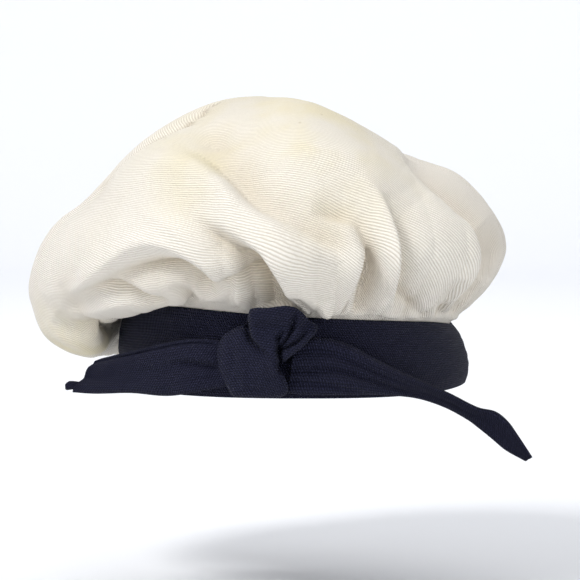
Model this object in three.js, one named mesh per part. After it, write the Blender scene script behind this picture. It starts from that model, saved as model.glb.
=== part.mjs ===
import * as THREE from "three";

// A sailor cap: a soft twill crown in two panels, gathered into a sash band that is knotted at the back.
// Millimetres, +Z up. The origin is the centre of the head opening, level with the sash's lower edge.
// -Y is the back of the cap, where the knot lies. A bearing counts degrees from -Y round towards +X.

// Sash band, measured round its outside
const openingWidth = 168;
const openingDepth = 184;
const bandHeight = 38;
const bandWall = 1.6;

// Crown, measured from the middle of the head opening
const reachRight = 107;
const reachLeft = 133;
const reachBack = 116;
const reachFront = 121;
const crownHeight = 108; // above the sash's upper edge
const crownWall = 1.5;
const spillOut = 3; // how far the crown comes out over the sash's upper edge
const spillUp = 4.8;
const tuck = 7; // how far the crown's edge goes down inside the sash
const poleLeft = 17; // where the two panels' points meet
const poleBack = 12;
const foldRelief = 10;
const foldSpan = 20;
const foldSharpness = 1.7; // 2 is a round fold, less is sharper
const gatherDepth = 1.8;
const gatherCount = 26;
const gatherLength = 26;

// Knot and tails
const knotLeft = 14; // the knot's middle, to the left of the cap's middle
const knotSpan = bandHeight * 0.68; // from its middle to its far corner: it takes up the sash's height
const knotDepth = 12;
const knotLean = 0.75; // how far it leans out over the sash's edge, for each millimetre up
const tailWall = 1.1;
const leftTailReach = 112; // from the cap's middle to the tip
const rightTailReach = 117;
const tailFold = 5; // how far a tail's turned edges lie behind its face

// Gaps between neighbours
const clearance = 0.5;
const seamGap = 0.4;

// How finely the solids are faceted
const backColumns = 58;
const frontColumns = 28;
const crownRows = 19;
const bandColumns = 56;
const bandRows = 5;
const knotColumns = 28;
const tailRows = 14;

const RAD = Math.PI / 180;

// The sash round the head: offsets are shares of its height, out from the opening's oval
const BAND_SECTIONS = [
  { bearing: -180, topOut: -0.02, bellyOut: 0.06, bottomOut: 0.0, topUp: 0.0, bottomUp: 0.0 },
  { bearing: -90, topOut: 0.0, bellyOut: 0.26, bottomOut: 0.0, topUp: 0.06, bottomUp: 0.05 },
  { bearing: -45, topOut: -0.02, bellyOut: 0.12, bottomOut: 0.0, topUp: 0.16, bottomUp: 0.07 },
  { bearing: 0, topOut: -0.02, bellyOut: 0.06, bottomOut: 0.0, topUp: 0.08, bottomUp: 0.09 },
  { bearing: 45, topOut: -0.04, bellyOut: 0.1, bottomOut: 0.0, topUp: -0.04, bottomUp: 0.06 },
  { bearing: 90, topOut: -0.1, bellyOut: 0.16, bottomOut: 0.04, topUp: -0.18, bottomUp: 0.0 },
  { bearing: 135, topOut: -0.04, bellyOut: 0.08, bottomOut: 0.0, topUp: -0.08, bottomUp: 0.0 },
];

// The crown's outline at each bearing: places as shares of the reach there and of the crown's height
const CROWN_SECTIONS = [
  { bearing: -180, sag: [0.9, -0.1], reachUp: 0.2, shoulder: [0.84, 0.6], crest: [0.4, 0.9] },
  { bearing: -135, sag: [0.86, -0.25], reachUp: 0.06, shoulder: [0.83, 0.5], crest: [0.42, 0.88] },
  { bearing: -90, sag: [0.77, -0.19], reachUp: 0.07, shoulder: [0.8, 0.48], crest: [0.43, 0.9] },
  { bearing: -45, sag: [0.84, 0.04], reachUp: 0.24, shoulder: [0.84, 0.62], crest: [0.46, 0.93] },
  { bearing: 0, sag: [0.86, 0.15], reachUp: 0.36, shoulder: [0.84, 0.7], crest: [0.46, 0.94] },
  { bearing: 45, sag: [0.88, 0.1], reachUp: 0.3, shoulder: [0.81, 0.6], crest: [0.4, 0.84] },
  { bearing: 90, sag: [0.84, 0.02], reachUp: 0.3, shoulder: [0.78, 0.63], crest: [0.4, 0.73] },
  { bearing: 135, sag: [0.88, 0.0], reachUp: 0.24, shoulder: [0.84, 0.6], crest: [0.42, 0.82] },
];

// Where the two panels are sewn together, from the sash up to the pole
const SEAMS = [
  { climb: 0, left: -112, right: 84 },
  { climb: 0.5, left: -112, right: 84 },
  { climb: 0.62, left: -100, right: 84 },
  { climb: 0.76, left: -74, right: 84 },
  { climb: 0.9, left: -82, right: 84 },
  { climb: 1, left: -97, right: 83 },
];

// Folds as seen from the back. Places are shares of half the crown's width and of its height. Rise is given at
// the three places, in shares of the relief. The two spreads, in shares of the fold span, lie to the left and to
// the right of someone who walks along the fold.
const BACK_FOLDS = [
  // The crease over the big roll, the roll itself and the hollow under it
  { from: [-0.42, 0.76], by: [-0.15, 0.55], to: [0.24, 0.31], rise: [0, -0.5, 0], spread: [0.5, 0.4] },
  { from: [-0.7, 0.62], by: [-0.23, 0.57], to: [0.14, 0.06], rise: [0, 0.7, 0.4], spread: [0.6, 0.6] },
  { from: [-0.34, 0.4], by: [-0.13, 0.27], to: [-0.02, 0.06], rise: [0, -0.65, -0.5], spread: [0.5, 0.6] },
  // The lower roll at the left, with its creases and dimple
  { from: [-0.97, 0.02], by: [-0.66, 0.31], to: [-0.26, 0.16], rise: [0.2, 0.7, 0], spread: [0.55, 0.45] },
  { from: [-0.66, 0.24], by: [-0.45, 0.29], to: [-0.3, 0.12], rise: [0, -0.5, 0], spread: [0.3, 0.4] },
  { from: [-0.62, 0.5], by: [-0.46, 0.42], to: [-0.32, 0.34], rise: [0, 0.3, 0], spread: [0.35, 0.35] },
  { from: [-0.86, 0.12], by: [-0.7, 0.15], to: [-0.5, 0.09], rise: [0, -0.4, 0], spread: [0.3, 0.3] },
  // The dark dip right of the middle, and the pleat beside it
  { from: [0.27, 0.44], by: [0.31, 0.28], to: [0.26, 0.06], rise: [0, -0.6, -0.3], spread: [0.4, 0.4] },
  { from: [0.3, 0.56], by: [0.38, 0.32], to: [0.35, 0.05], rise: [0, 0.55, 0.2], spread: [0.25, 0.4] },
  { from: [0.1, 0.5], by: [0.2, 0.49], to: [0.29, 0.45], rise: [0, -0.4, 0], spread: [0.4, 0.4] },
  // The valley in front of the right-hand lobe, and the broad dome above
  { from: [0.42, 0.73], by: [0.64, 0.48], to: [0.63, 0.02], rise: [0, -0.7, -0.4], spread: [0.5, 0.45] },
  { from: [-0.14, 0.86], by: [0.14, 0.76], to: [0.4, 0.52], rise: [0, 0.5, 0], spread: [1.1, 1.1] },
];

// The far side's few soft folds, given the same way as seen from the front
const FRONT_FOLDS = [
  { from: [-0.5, 0.7], by: [-0.2, 0.4], to: [-0.15, 0.05], rise: [0, -0.5, -0.3], spread: [0.6, 0.6] },
  { from: [-0.1, 0.75], by: [0.2, 0.45], to: [0.6, 0.3], rise: [0, 0.6, 0], spread: [0.8, 0.7] },
  { from: [0.05, 0.5], by: [0.25, 0.3], to: [0.3, 0.04], rise: [0, -0.5, -0.3], spread: [0.5, 0.6] },
  { from: [0.8, 0.3], by: [0.65, 0.2], to: [0.55, 0.02], rise: [0, -0.4, -0.3], spread: [0.5, 0.5] },
];

// The knot's outline: angles from the right hand round by the top, reaches in shares of the knot's span
const KNOT_OUTLINE = [
  { angle: -126, reach: 1.01 },
  { angle: -100, reach: 0.87 },
  { angle: -72, reach: 0.88 },
  { angle: -57, reach: 0.76 },
  { angle: -40, reach: 0.42 },
  { angle: -8, reach: 0.5 },
  { angle: 14, reach: 0.8 },
  { angle: 26, reach: 1.06 },
  { angle: 55, reach: 0.99 },
  { angle: 82, reach: 0.83 },
  { angle: 110, reach: 0.81 },
  { angle: 126, reach: 0.62 },
  { angle: 144, reach: 0.69 },
  { angle: 165, reach: 0.82 },
  { angle: 190, reach: 0.88 },
  { angle: 215, reach: 0.93 },
];

// The knot's creases, in shares of its span from its middle, with their depths in shares of its own depth
const KNOT_FOLDS = [
  { from: [-0.31, 0.7], by: [-0.26, 0.33], to: [-0.08, 0.1], rise: [-0.5, -0.45, 0], spread: [0.09, 0.12] },
  { from: [0.55, 0.7], by: [0.45, 0.35], to: [0.26, 0.1], rise: [0, -0.2, -0.1], spread: [0.1, 0.12] },
  { from: [0.9, 0.42], by: [0.6, 0.2], to: [0.26, 0], rise: [-0.2, -0.25, -0.3], spread: [0.1, 0.14] },
];

// A tail's section from its lower turned edge to its upper one: across in half widths, behind in tail folds
const TAIL_SECTION = [
  { across: -0.5, behind: 0.8 },
  { across: -0.8, behind: 0.85 },
  { across: -1, behind: 0.5 },
  { across: -0.85, behind: 0.08 },
  { across: -0.45, behind: 0 },
  { across: -0.1, behind: 0.22 },
  { across: 0.3, behind: 0 },
  { across: 0.85, behind: 0.04 },
  { across: 1, behind: 0.45 },
  { across: 0.8, behind: 0.85 },
  { across: 0.55, behind: 0.8 },
];

const TAIL_ROOT_FOLD = 0.6; // the turned edges where a tail goes in under the knot, in tail folds

// The tails from under the knot to the tip. Along is a share of the way to the tip, up a share of the sash's
// height, back a share of the sash's distance behind the head, and fold scales the turned edges.
const LEFT_TAIL = [
  { share: 0, topAlong: 0, topUp: 0.74, lowAlong: 0, lowUp: 0.24, back: 0.947, fold: TAIL_ROOT_FOLD },
  { share: 0.2, topAlong: 0.27, topUp: 0.8, lowAlong: 0.27, lowUp: 0.12, back: 0.86, fold: 0.9 },
  { share: 0.4, topAlong: 0.45, topUp: 0.71, lowAlong: 0.45, lowUp: 0.06, back: 0.76, fold: 1 },
  { share: 0.6, topAlong: 0.64, topUp: 0.59, lowAlong: 0.65, lowUp: 0.07, back: 0.65, fold: 0.9 },
  { share: 0.8, topAlong: 0.8, topUp: 0.49, lowAlong: 0.87, lowUp: 0.05, back: 0.535, fold: 0.8 },
  { share: 0.9, topAlong: 0.84, topUp: 0.41, lowAlong: 0.93, lowUp: 0.05, back: 0.5, fold: 0.7 },
  { share: 1, topAlong: 0.93, topUp: 0.16, lowAlong: 1, lowUp: 0.07, back: 0.465, fold: 0.6 },
];
const RIGHT_TAIL = [
  { share: 0, topAlong: 0, topUp: 0.78, lowAlong: -0.025, lowUp: 0.15, back: 1.006, fold: TAIL_ROOT_FOLD },
  { share: 0.15, topAlong: 0.17, topUp: 0.8, lowAlong: 0.14, lowUp: 0.13, back: 0.985, fold: 0.9 },
  { share: 0.3, topAlong: 0.32, topUp: 0.59, lowAlong: 0.28, lowUp: 0.12, back: 0.92, fold: 1 },
  { share: 0.45, topAlong: 0.49, topUp: 0.31, lowAlong: 0.44, lowUp: 0.06, back: 0.82, fold: 0.8 },
  { share: 0.6, topAlong: 0.65, topUp: 0.06, lowAlong: 0.6, lowUp: -0.1, back: 0.7, fold: 0.6 },
  { share: 0.72, topAlong: 0.77, topUp: -0.12, lowAlong: 0.71, lowUp: -0.3, back: 0.61, fold: 0.6 },
  { share: 0.83, topAlong: 0.87, topUp: -0.24, lowAlong: 0.79, lowUp: -0.47, back: 0.555, fold: 0.7 },
  { share: 0.92, topAlong: 0.93, topUp: -0.46, lowAlong: 0.87, lowUp: -0.67, back: 0.53, fold: 0.6 },
  { share: 1, topAlong: 1, topUp: -0.82, lowAlong: 0.96, lowUp: -0.86, back: 0.51, fold: 0.6 },
];

// A table's column at x, on a smooth curve through its rows. With a period, the curve closes on itself. Part
// picks one of the column's two numbers.
function columnAt(rows, name, key, x, period = 0, part = null) {
  const wrapped = period ? rows[0][name] + ((((x - rows[0][name]) % period) + period) % period) : x;
  const count = rows.length;
  const read = (row, turn) => [row[name] + turn * period, part === null ? row[key] : row[key][part]];
  const knot = (i) => {
    if (!period) return read(rows[Math.min(Math.max(i, 0), count - 1)], 0);
    const turn = Math.floor(i / count);
    return read(rows[i - turn * count], turn);
  };
  let i = 0;
  const last = period ? count - 1 : count - 2;
  while (i < last && knot(i + 1)[0] <= wrapped) i++;
  const [a, b, c, d] = [knot(i - 1), knot(i), knot(i + 1), knot(i + 2)];
  const span = c[0] - b[0];
  const slope = (p, q) => (q[0] === p[0] ? 0 : (q[1] - p[1]) / (q[0] - p[0]));
  const t = (wrapped - b[0]) / span;
  return (
    (2 * t ** 3 - 3 * t ** 2 + 1) * b[1] +
    (t ** 3 - 2 * t ** 2 + t) * slope(a, c) * span +
    (3 * t ** 2 - 2 * t ** 3) * c[1] +
    (t ** 3 - t ** 2) * slope(b, d) * span
  );
}

const direction = (bearing) => new THREE.Vector3(Math.sin(bearing * RAD), -Math.cos(bearing * RAD), 0);

function oval(bearing, right, left, back, front) {
  const d = direction(bearing);
  return 1 / Math.hypot(d.x / (d.x > 0 ? right : left), d.y / (d.y > 0 ? front : back));
}

// A point on the sash: share runs from its lower edge to its upper edge, depth goes in from its outside.
function bandPoint(bearing, share, depth) {
  const at = (key) => columnAt(BAND_SECTIONS, "bearing", key, bearing, 360) * bandHeight;
  const out =
    (1 - share) ** 2 * at("bottomOut") + 2 * share * (1 - share) * at("bellyOut") + share ** 2 * at("topOut");
  const halfWidth = openingWidth / 2;
  const halfDepth = openingDepth / 2;
  const radius = oval(bearing, halfWidth, halfWidth, halfDepth, halfDepth) + out - depth;
  const low = at("bottomUp");
  const high = bandHeight + at("topUp");
  return direction(bearing).multiplyScalar(radius).setZ(low + share * (high - low));
}

const pole = () => new THREE.Vector3(-poleLeft, -poleBack, bandHeight + crownHeight);

// The points that the crown's profile passes through at one bearing, from its tucked edge up to the crest
function profileKnots(bearing) {
  const at = (key, part) => columnAt(CROWN_SECTIONS, "bearing", key, bearing, 360, part);
  const reach = oval(bearing, reachRight, reachLeft, reachBack, reachFront);
  const away = direction(bearing);
  const place = (out, up) => away.clone().multiplyScalar(out * reach).setZ(bandHeight + up * crownHeight);
  const inside = (share) => bandPoint(bearing, share, bandWall + clearance);
  const edge = bandPoint(bearing, 1, 0);
  const spill = edge.clone().addScaledVector(away, spillOut).setZ(edge.z + spillUp);
  return [
    inside(1 - tuck / bandHeight),
    inside(1 - tuck / bandHeight / 2),
    inside(1),
    spill,
    place(at("sag", 0), at("sag", 1)),
    place(1, at("reachUp")),
    place(at("shoulder", 0), at("shoulder", 1)),
    place(at("crest", 0), at("crest", 1)),
  ];
}

const profiles = new Map();
const spillKnot = 3;

// The profile at one bearing as closely spaced points, with the length along it and where it leaves the sash
function profile(bearing) {
  const key = bearing.toFixed(3);
  if (profiles.has(key)) return profiles.get(key);
  const knots = [...profileKnots(bearing), pole()];
  const beyond = profileKnots(bearing + 180).slice(-2).reverse();
  const curve = new THREE.CatmullRomCurve3([...knots, ...beyond], false, "centripetal");
  const stretches = knots.length + beyond.length - 1;
  const perStretch = 12;
  const fine = (knots.length - 1) * perStretch;
  const points = Array.from({ length: fine + 1 }, (_, i) => curve.getPoint(i / perStretch / stretches));
  const lengths = [0];
  for (let i = 1; i <= fine; i++) lengths.push(lengths[i - 1] + points[i].distanceTo(points[i - 1]));
  const made = { points, lengths, spill: lengths[spillKnot * perStretch] };
  profiles.set(key, made);
  return made;
}

// Climb runs from 0, where the crown comes out of the sash, to 1 at the pole. Below 0 it is tucked inside.
function basePoint(bearing, climb) {
  const { points, lengths, spill } = profile(bearing);
  const wanted = climb < 0 ? spill * (1 + climb) : spill + climb * (lengths.at(-1) - spill);
  let i = 1;
  while (i < lengths.length - 1 && lengths[i] < wanted) i++;
  const t = (wanted - lengths[i - 1]) / (lengths[i] - lengths[i - 1]);
  return points[i - 1].clone().lerp(points[i], t);
}

function baseNormal(bearing, climb) {
  const step = 0.01;
  const low = Math.min(Math.max(climb - step, -1), 1 - 2 * step);
  const along = basePoint(bearing, low + 2 * step).sub(basePoint(bearing, low));
  const spot = Math.min(climb, 0.98);
  const round = basePoint(bearing + 0.5, spot).sub(basePoint(bearing - 0.5, spot));
  return round.cross(along).normalize();
}

const smooth = (x, low, high) => THREE.MathUtils.smoothstep(x, low, high);

// A smooth curve through three values, the middle one at half way
const through = (a, b, c, t) => a * (1 - t) * (1 - 2 * t) + 4 * b * t * (1 - t) + c * t * (2 * t - 1);

// The height that a table of folds gives at a place, all in millimetres
function foldHeight(folds, x, y, unitX, unitY, relief, span) {
  let height = 0;
  for (const { from, by, to, rise, spread } of folds) {
    const steps = 10;
    const place = (t, axis) => through(from[axis], by[axis], to[axis], t);
    let nearest = { distance: Infinity };
    for (let i = 0; i < steps; i++) {
      const [ax, ay] = [place(i / steps, 0) * unitX, place(i / steps, 1) * unitY];
      const dx = place((i + 1) / steps, 0) * unitX - ax;
      const dy = place((i + 1) / steps, 1) * unitY - ay;
      const t = THREE.MathUtils.clamp(((x - ax) * dx + (y - ay) * dy) / (dx * dx + dy * dy), 0, 1);
      const distance = Math.hypot(x - ax - t * dx, y - ay - t * dy);
      if (distance < nearest.distance) {
        const onLeft = dx * (y - ay) - dy * (x - ax) > 0;
        nearest = { distance, along: (i + t) / steps, width: spread[onLeft ? 0 : 1] * span };
      }
    }
    const { distance, along, width } = nearest;
    height += through(...rise, along) * relief * Math.exp(-((distance / width) ** foldSharpness));
  }
  return height;
}

// How far the cloth stands out from the crown's smooth form: its folds, and its gathers near the sash
function relief(bearing, climb, base) {
  const free = smooth(climb, 0, 0.08) * (1 - smooth(climb, 0.88, 1));
  const rise = base.z - bandHeight;
  const halfWidth = (reachLeft + reachRight) / 2;
  const seen = -base.y / reachBack;
  const folds = (table, across) => foldHeight(table, across, rise, halfWidth, crownHeight, foldRelief, foldSpan);
  const back = smooth(seen, 0, 0.3) * folds(BACK_FOLDS, base.x);
  const front = smooth(-seen, 0, 0.3) * folds(FRONT_FOLDS, -base.x);
  const { spill, lengths } = profile(bearing);
  const climbed = climb * (lengths.at(-1) - spill);
  const gather = gatherDepth * Math.cos(gatherCount * bearing * RAD) * Math.exp(-climbed / gatherLength);
  return free * (back + front) + smooth(climb, 0, 0.03) * gather;
}

function crownPoint(bearing, climb, depth) {
  const base = basePoint(bearing, climb);
  const lift = climb > 0 ? relief(bearing, climb, base) : 0;
  return base.addScaledVector(baseNormal(bearing, climb), lift - depth);
}

// Joins rows of points into a grid of triangles. Turned over, the same triangles face the other way.
function gridFaces(rows, columns, index, faces, turned = false) {
  for (let r = 0; r < rows; r++) {
    for (let c = 0; c < columns; c++) {
      const [a, b, d, e] = [index(r, c), index(r, c + 1), index(r + 1, c + 1), index(r + 1, c)];
      if (turned) faces.push([a, d, b], [a, e, d]);
      else faces.push([a, b, d], [a, d, e]);
    }
  }
}

function solidFrom(points, faces) {
  const geometry = new THREE.BufferGeometry();
  const corners = faces.filter(([a, b, c]) => a !== b && b !== c && c !== a).flat();
  geometry.setAttribute("position", new THREE.Float32BufferAttribute(points.flatMap((p) => p.toArray()), 3));
  geometry.setIndex(corners);
  geometry.computeVertexNormals();
  return geometry;
}

// One panel of the crown: an outer and an inner surface, joined along its two seams and its tucked edge
function panel(left, right, columns, shift) {
  const points = [];
  const climbs = [-1, -0.5, -0.25, ...Array.from({ length: crownRows + 1 }, (_, r) => r / crownRows)];
  const grid = [0, crownWall].map((depth) => {
    const rows = [];
    for (const climb of climbs.slice(0, -1)) {
      const start = left(climb);
      const row = [];
      for (let c = 0; c <= columns; c++) {
        const bearing = start + ((right(climb) - start) * c) / columns;
        row.push(points.push(crownPoint(bearing, climb, depth).add(shift)) - 1);
      }
      rows.push(row);
    }
    const top = points.push(pole().setZ(pole().z - depth).add(shift)) - 1;
    rows.push(Array(columns + 1).fill(top));
    return rows;
  });
  const [outer, inner] = grid;
  const steps = climbs.length - 1;
  const faces = [];
  gridFaces(steps, columns, (r, c) => outer[r][c], faces);
  gridFaces(steps, columns, (r, c) => inner[r][c], faces, true);
  for (const side of [0, columns]) {
    const walls = side ? [outer, inner] : [inner, outer];
    gridFaces(steps, 1, (r, c) => walls[c][r][side], faces);
  }
  gridFaces(1, columns, (r, c) => (r ? outer : inner)[0][c], faces);
  return solidFrom(points, faces);
}

function band() {
  const points = [];
  const section = [];
  for (let r = 0; r <= bandRows; r++) section.push([r / bandRows, 0]);
  for (let r = bandRows; r >= 0; r--) section.push([r / bandRows, bandWall]);
  for (let c = 0; c < bandColumns; c++) {
    for (const [share, depth] of section) points.push(bandPoint((360 * c) / bandColumns, share, depth));
  }
  const faces = [];
  const around = section.length;
  gridFaces(around, bandColumns, (r, c) => (c % bandColumns) * around + (r % around), faces);
  return solidFrom(points, faces);
}

// How far back the sash's outside lies at a place across the cap, half way up the sash
function sashFace(x) {
  let [low, high] = [-90, 90];
  for (let i = 0; i < 24; i++) {
    const bearing = (low + high) / 2;
    if (bandPoint(bearing, 0.5, 0).x < x) low = bearing;
    else high = bearing;
  }
  return bandPoint(low, 0.5, 0).y;
}

// The knot is wound cloth: a lump on a narrower foot, so that the tails come out from under its edge
function knot() {
  const middle = new THREE.Vector2(-knotLeft, bandHeight * 0.68);
  const sashTop = bandPoint(0, 1, 0).z;
  const underside = TAIL_ROOT_FOLD * tailFold + 3 * clearance;
  const widest = underside + knotDepth * 0.12;
  const reachAt = (angle) => columnAt(KNOT_OUTLINE, "angle", "reach", angle, 360) * knotSpan;
  const footAt = (angle) => Math.min(0.85 * reachAt(angle), knotSpan / 2);
  const place = (radius, angle, height) => {
    const [dx, dz] = [radius * Math.cos(angle * RAD), radius * Math.sin(angle * RAD)];
    const [x, z] = [middle.x + dx, middle.y + dz];
    const lean = knotLean * Math.max(z - sashTop + 2 * bandWall, 0);
    const crease = foldHeight(KNOT_FOLDS, dx, dz, knotSpan, knotSpan, knotDepth, knotSpan);
    const raised = height + crease * smooth(height, widest, 1.4 * widest);
    const lift = height > widest ? Math.max(raised, widest) : height;
    return new THREE.Vector3(x, sashFace(x) - clearance - lean - lift, z);
  };
  const front = [0.2, 0.4, 0.6, 0.76, 0.88, 0.96, 1].map((share) => ({
    radius: (angle) => share * reachAt(angle),
    height: widest + (knotDepth - widest) * Math.sqrt(Math.max(1 - share ** 2.6, 0)),
  }));
  const back = [
    { radius: (angle) => 0.97 * reachAt(angle), height: underside },
    { radius: footAt, height: underside },
    { radius: footAt, height: 0 },
  ];
  const layers = [...front, ...back];
  const points = [place(0, 0, knotDepth)];
  for (const { radius, height } of layers) {
    for (let c = 0; c < knotColumns; c++) {
      const angle = (360 * c) / knotColumns;
      points.push(place(radius(angle), angle, height));
    }
  }
  const last = points.push(place(0, 0, 0)) - 1;
  const faces = [];
  gridFaces(layers.length - 1, knotColumns, (r, c) => 1 + r * knotColumns + (c % knotColumns), faces, true);
  for (let c = 0; c < knotColumns; c++) {
    const next = (c + 1) % knotColumns;
    const foot = 1 + (layers.length - 1) * knotColumns;
    faces.push([0, 1 + c, 1 + next], [last, foot + next, foot + c]);
  }
  return solidFrom(points, faces);
}

// A tail is one strip of cloth with both its long edges turned behind. It lies against the sash where the sash
// comes near enough.
function tail(rows, root, tip) {
  const side = Math.sign(tip - root);
  const frames = Array.from({ length: tailRows + 1 }, (_, r) => {
    const at = (key) => columnAt(rows, "share", key, r / tailRows);
    const across = (key) => root + at(key) * (tip - root);
    const fold = at("fold") * tailFold;
    const face = Math.min(sashFace(across("lowAlong")), sashFace(0) * at("back")) - fold - clearance;
    const high = new THREE.Vector3(across("topAlong"), face, at("topUp") * bandHeight);
    const low = new THREE.Vector3(across("lowAlong"), face, at("lowUp") * bandHeight);
    return { middle: high.clone().add(low).divideScalar(2), half: high.sub(low).divideScalar(2), fold };
  });
  const points = [];
  const sections = frames.map(({ middle, half, fold }, r) => {
    const ahead = frames[Math.min(r + 1, tailRows)].middle.clone().sub(frames[Math.max(r - 1, 0)].middle);
    const behind = ahead.cross(half).multiplyScalar(-side).normalize();
    const width = half.length();
    const across = half.clone().normalize();
    const face = TAIL_SECTION.map((p) => new THREE.Vector2(p.across * width, p.behind * fold));
    const wall = Math.min(tailWall, width / 2);
    const lining = face.map((p, i) => {
      const along = face[Math.min(i + 1, face.length - 1)].clone().sub(face[Math.max(i - 1, 0)]).normalize();
      return new THREE.Vector2(p.x - along.y * wall, p.y + along.x * wall);
    });
    return [...face, ...lining.reverse()].map(
      (p) => points.push(middle.clone().addScaledVector(across, p.x).addScaledVector(behind, p.y)) - 1,
    );
  });
  const around = sections[0].length;
  const flip = side > 0;
  const faces = [];
  gridFaces(tailRows, around, (r, c) => sections[r][(flip ? around - c : c) % around], faces);
  const count = TAIL_SECTION.length;
  for (const [section, turned] of [[sections[0], flip], [sections[tailRows], !flip]]) {
    const sides = [section.slice(0, count), section.slice(count).reverse()];
    gridFaces(1, count - 1, (r, c) => sides[r][c], faces, !turned);
  }
  return solidFrom(points, faces);
}

const cotton = new THREE.MeshStandardMaterial({ color: 0xf1ead6, roughness: 0.9, metalness: 0 });
const navy = new THREE.MeshStandardMaterial({ color: 0x1b1c2b, roughness: 0.85, metalness: 0 });

const cap = new THREE.Group();

function add(name, geometry, material) {
  const mesh = new THREE.Mesh(geometry, material);
  mesh.name = name;
  cap.add(mesh);
}

const seam = (side) => (climb) => columnAt(SEAMS, "climb", side, Math.max(climb, 0));
const backward = new THREE.Vector3(0, -seamGap / 2, 0);
const forward = backward.clone().negate();
add("crown_back_panel", panel(seam("left"), seam("right"), backColumns, backward), cotton);
const roundToLeft = (climb) => seam("left")(climb) + 360;
add("crown_front_panel", panel(seam("right"), roundToLeft, frontColumns, forward), cotton);
add("sash_band", band(), navy);
add("sash_knot", knot(), navy);
const rootReach = knotSpan / 2 + 2 * clearance;
add("left_tail", tail(LEFT_TAIL, -knotLeft - rootReach, -leftTailReach), navy);
add("right_tail", tail(RIGHT_TAIL, -knotLeft + rootReach, rightTailReach), navy);

export default cap;
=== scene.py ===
import logging
import math
from collections.abc import Callable, Sequence
from dataclasses import dataclass, field
from enum import Enum
from functools import partial

import bpy
import numpy as np
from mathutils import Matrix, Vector


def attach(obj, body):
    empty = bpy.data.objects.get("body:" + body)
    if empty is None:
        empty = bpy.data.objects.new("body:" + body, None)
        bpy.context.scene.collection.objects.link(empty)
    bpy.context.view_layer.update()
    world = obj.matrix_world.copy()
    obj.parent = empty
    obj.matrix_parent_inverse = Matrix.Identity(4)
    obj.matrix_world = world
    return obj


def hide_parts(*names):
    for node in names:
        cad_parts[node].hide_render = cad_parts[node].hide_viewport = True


# The look of a soft sailor cap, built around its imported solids: a ribbed twill crown in two panels,
# and a navy sash with its knot and two tails. Shapes are worked out in millimetres, with the
# solids' own formulas on a finer grid, and become metres when a mesh is made.

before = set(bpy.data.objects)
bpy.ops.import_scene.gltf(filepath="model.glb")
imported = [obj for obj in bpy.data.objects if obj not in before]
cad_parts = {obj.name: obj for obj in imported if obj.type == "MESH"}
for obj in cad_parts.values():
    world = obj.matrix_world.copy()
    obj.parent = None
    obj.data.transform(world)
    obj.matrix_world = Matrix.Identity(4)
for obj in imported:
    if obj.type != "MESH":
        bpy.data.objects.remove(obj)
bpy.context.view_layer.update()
LOG = logging.getLogger("sailor_cap")
MM = 0.001
ROOT = "root"
CLOTH_UV = "cloth"
UV_UNIT = 100.0  # millimetres of cloth in one unit of its UV map
# The first mask darkens the crown deep in its folds: painted shade, with some dirt.
MASKS = ("fold_shade_and_dirt", "seam")  # what the crown's meshes keep for their finish

Array = np.ndarray
Colour = tuple[float, float, float, float]


# Numbers and curves


def smooth(x: Array | float, low: float, high: float) -> Array:
    """Rises softly from 0 at low to 1 at high."""
    t = np.clip((np.asarray(x, float) - low) / (high - low), 0, 1)
    return t * t * (3 - 2 * t)


def unit(v: Array) -> Array:
    """Vectors of length 1 along the last axis."""
    return v / np.maximum(np.linalg.norm(v, axis=-1, keepdims=True), 1e-12)


class Table:
    """Short rows of given sizes, read on a smooth curve through them."""

    def __init__(self, names: str, rows: Sequence[Sequence[float]], period: float = 0.0) -> None:
        """Keeps the rows.

        Args:
            names: The columns' names, the first of which is the one that rows are sorted by.
            rows: One sequence of numbers for each row.
            period: The length after which the table repeats, or 0.
        """
        values = np.array(rows, float)
        self.period = period
        self.first = values[0, 0]
        before, after = values[-1:].copy(), values[:2].copy()
        if period:
            before[:, 0] -= period
            after[:, 0] += period
            self.values = np.vstack([before, values, after])
        else:
            self.values = np.vstack([values[:1], values, values[-1:]])
        self.columns = {name: i for i, name in enumerate(names.split())}

    def at(self, name: str, x: Array | float) -> Array:
        """Reads one column.

        Args:
            name: The column.
            x: Where to read it.

        Returns:
            Its value at each x.
        """
        x = np.asarray(x, float)
        if self.period:
            x = self.first + np.mod(x - self.first, self.period)
        keys, heights = self.values[:, 0], self.values[:, self.columns[name]]
        i = np.clip(np.searchsorted(keys, x, side="right") - 1, 1, len(keys) - 3)
        slopes = np.zeros(len(keys))
        slopes[1:-1] = (heights[2:] - heights[:-2]) / np.maximum(keys[2:] - keys[:-2], 1e-9)
        span = keys[i + 1] - keys[i]
        t = (x - keys[i]) / span
        return (
            (2 * t**3 - 3 * t**2 + 1) * heights[i]
            + (t**3 - 2 * t**2 + t) * slopes[i] * span
            + (3 * t**2 - 2 * t**3) * heights[i + 1]
            + (t**3 - t**2) * slopes[i + 1] * span
        )


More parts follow.
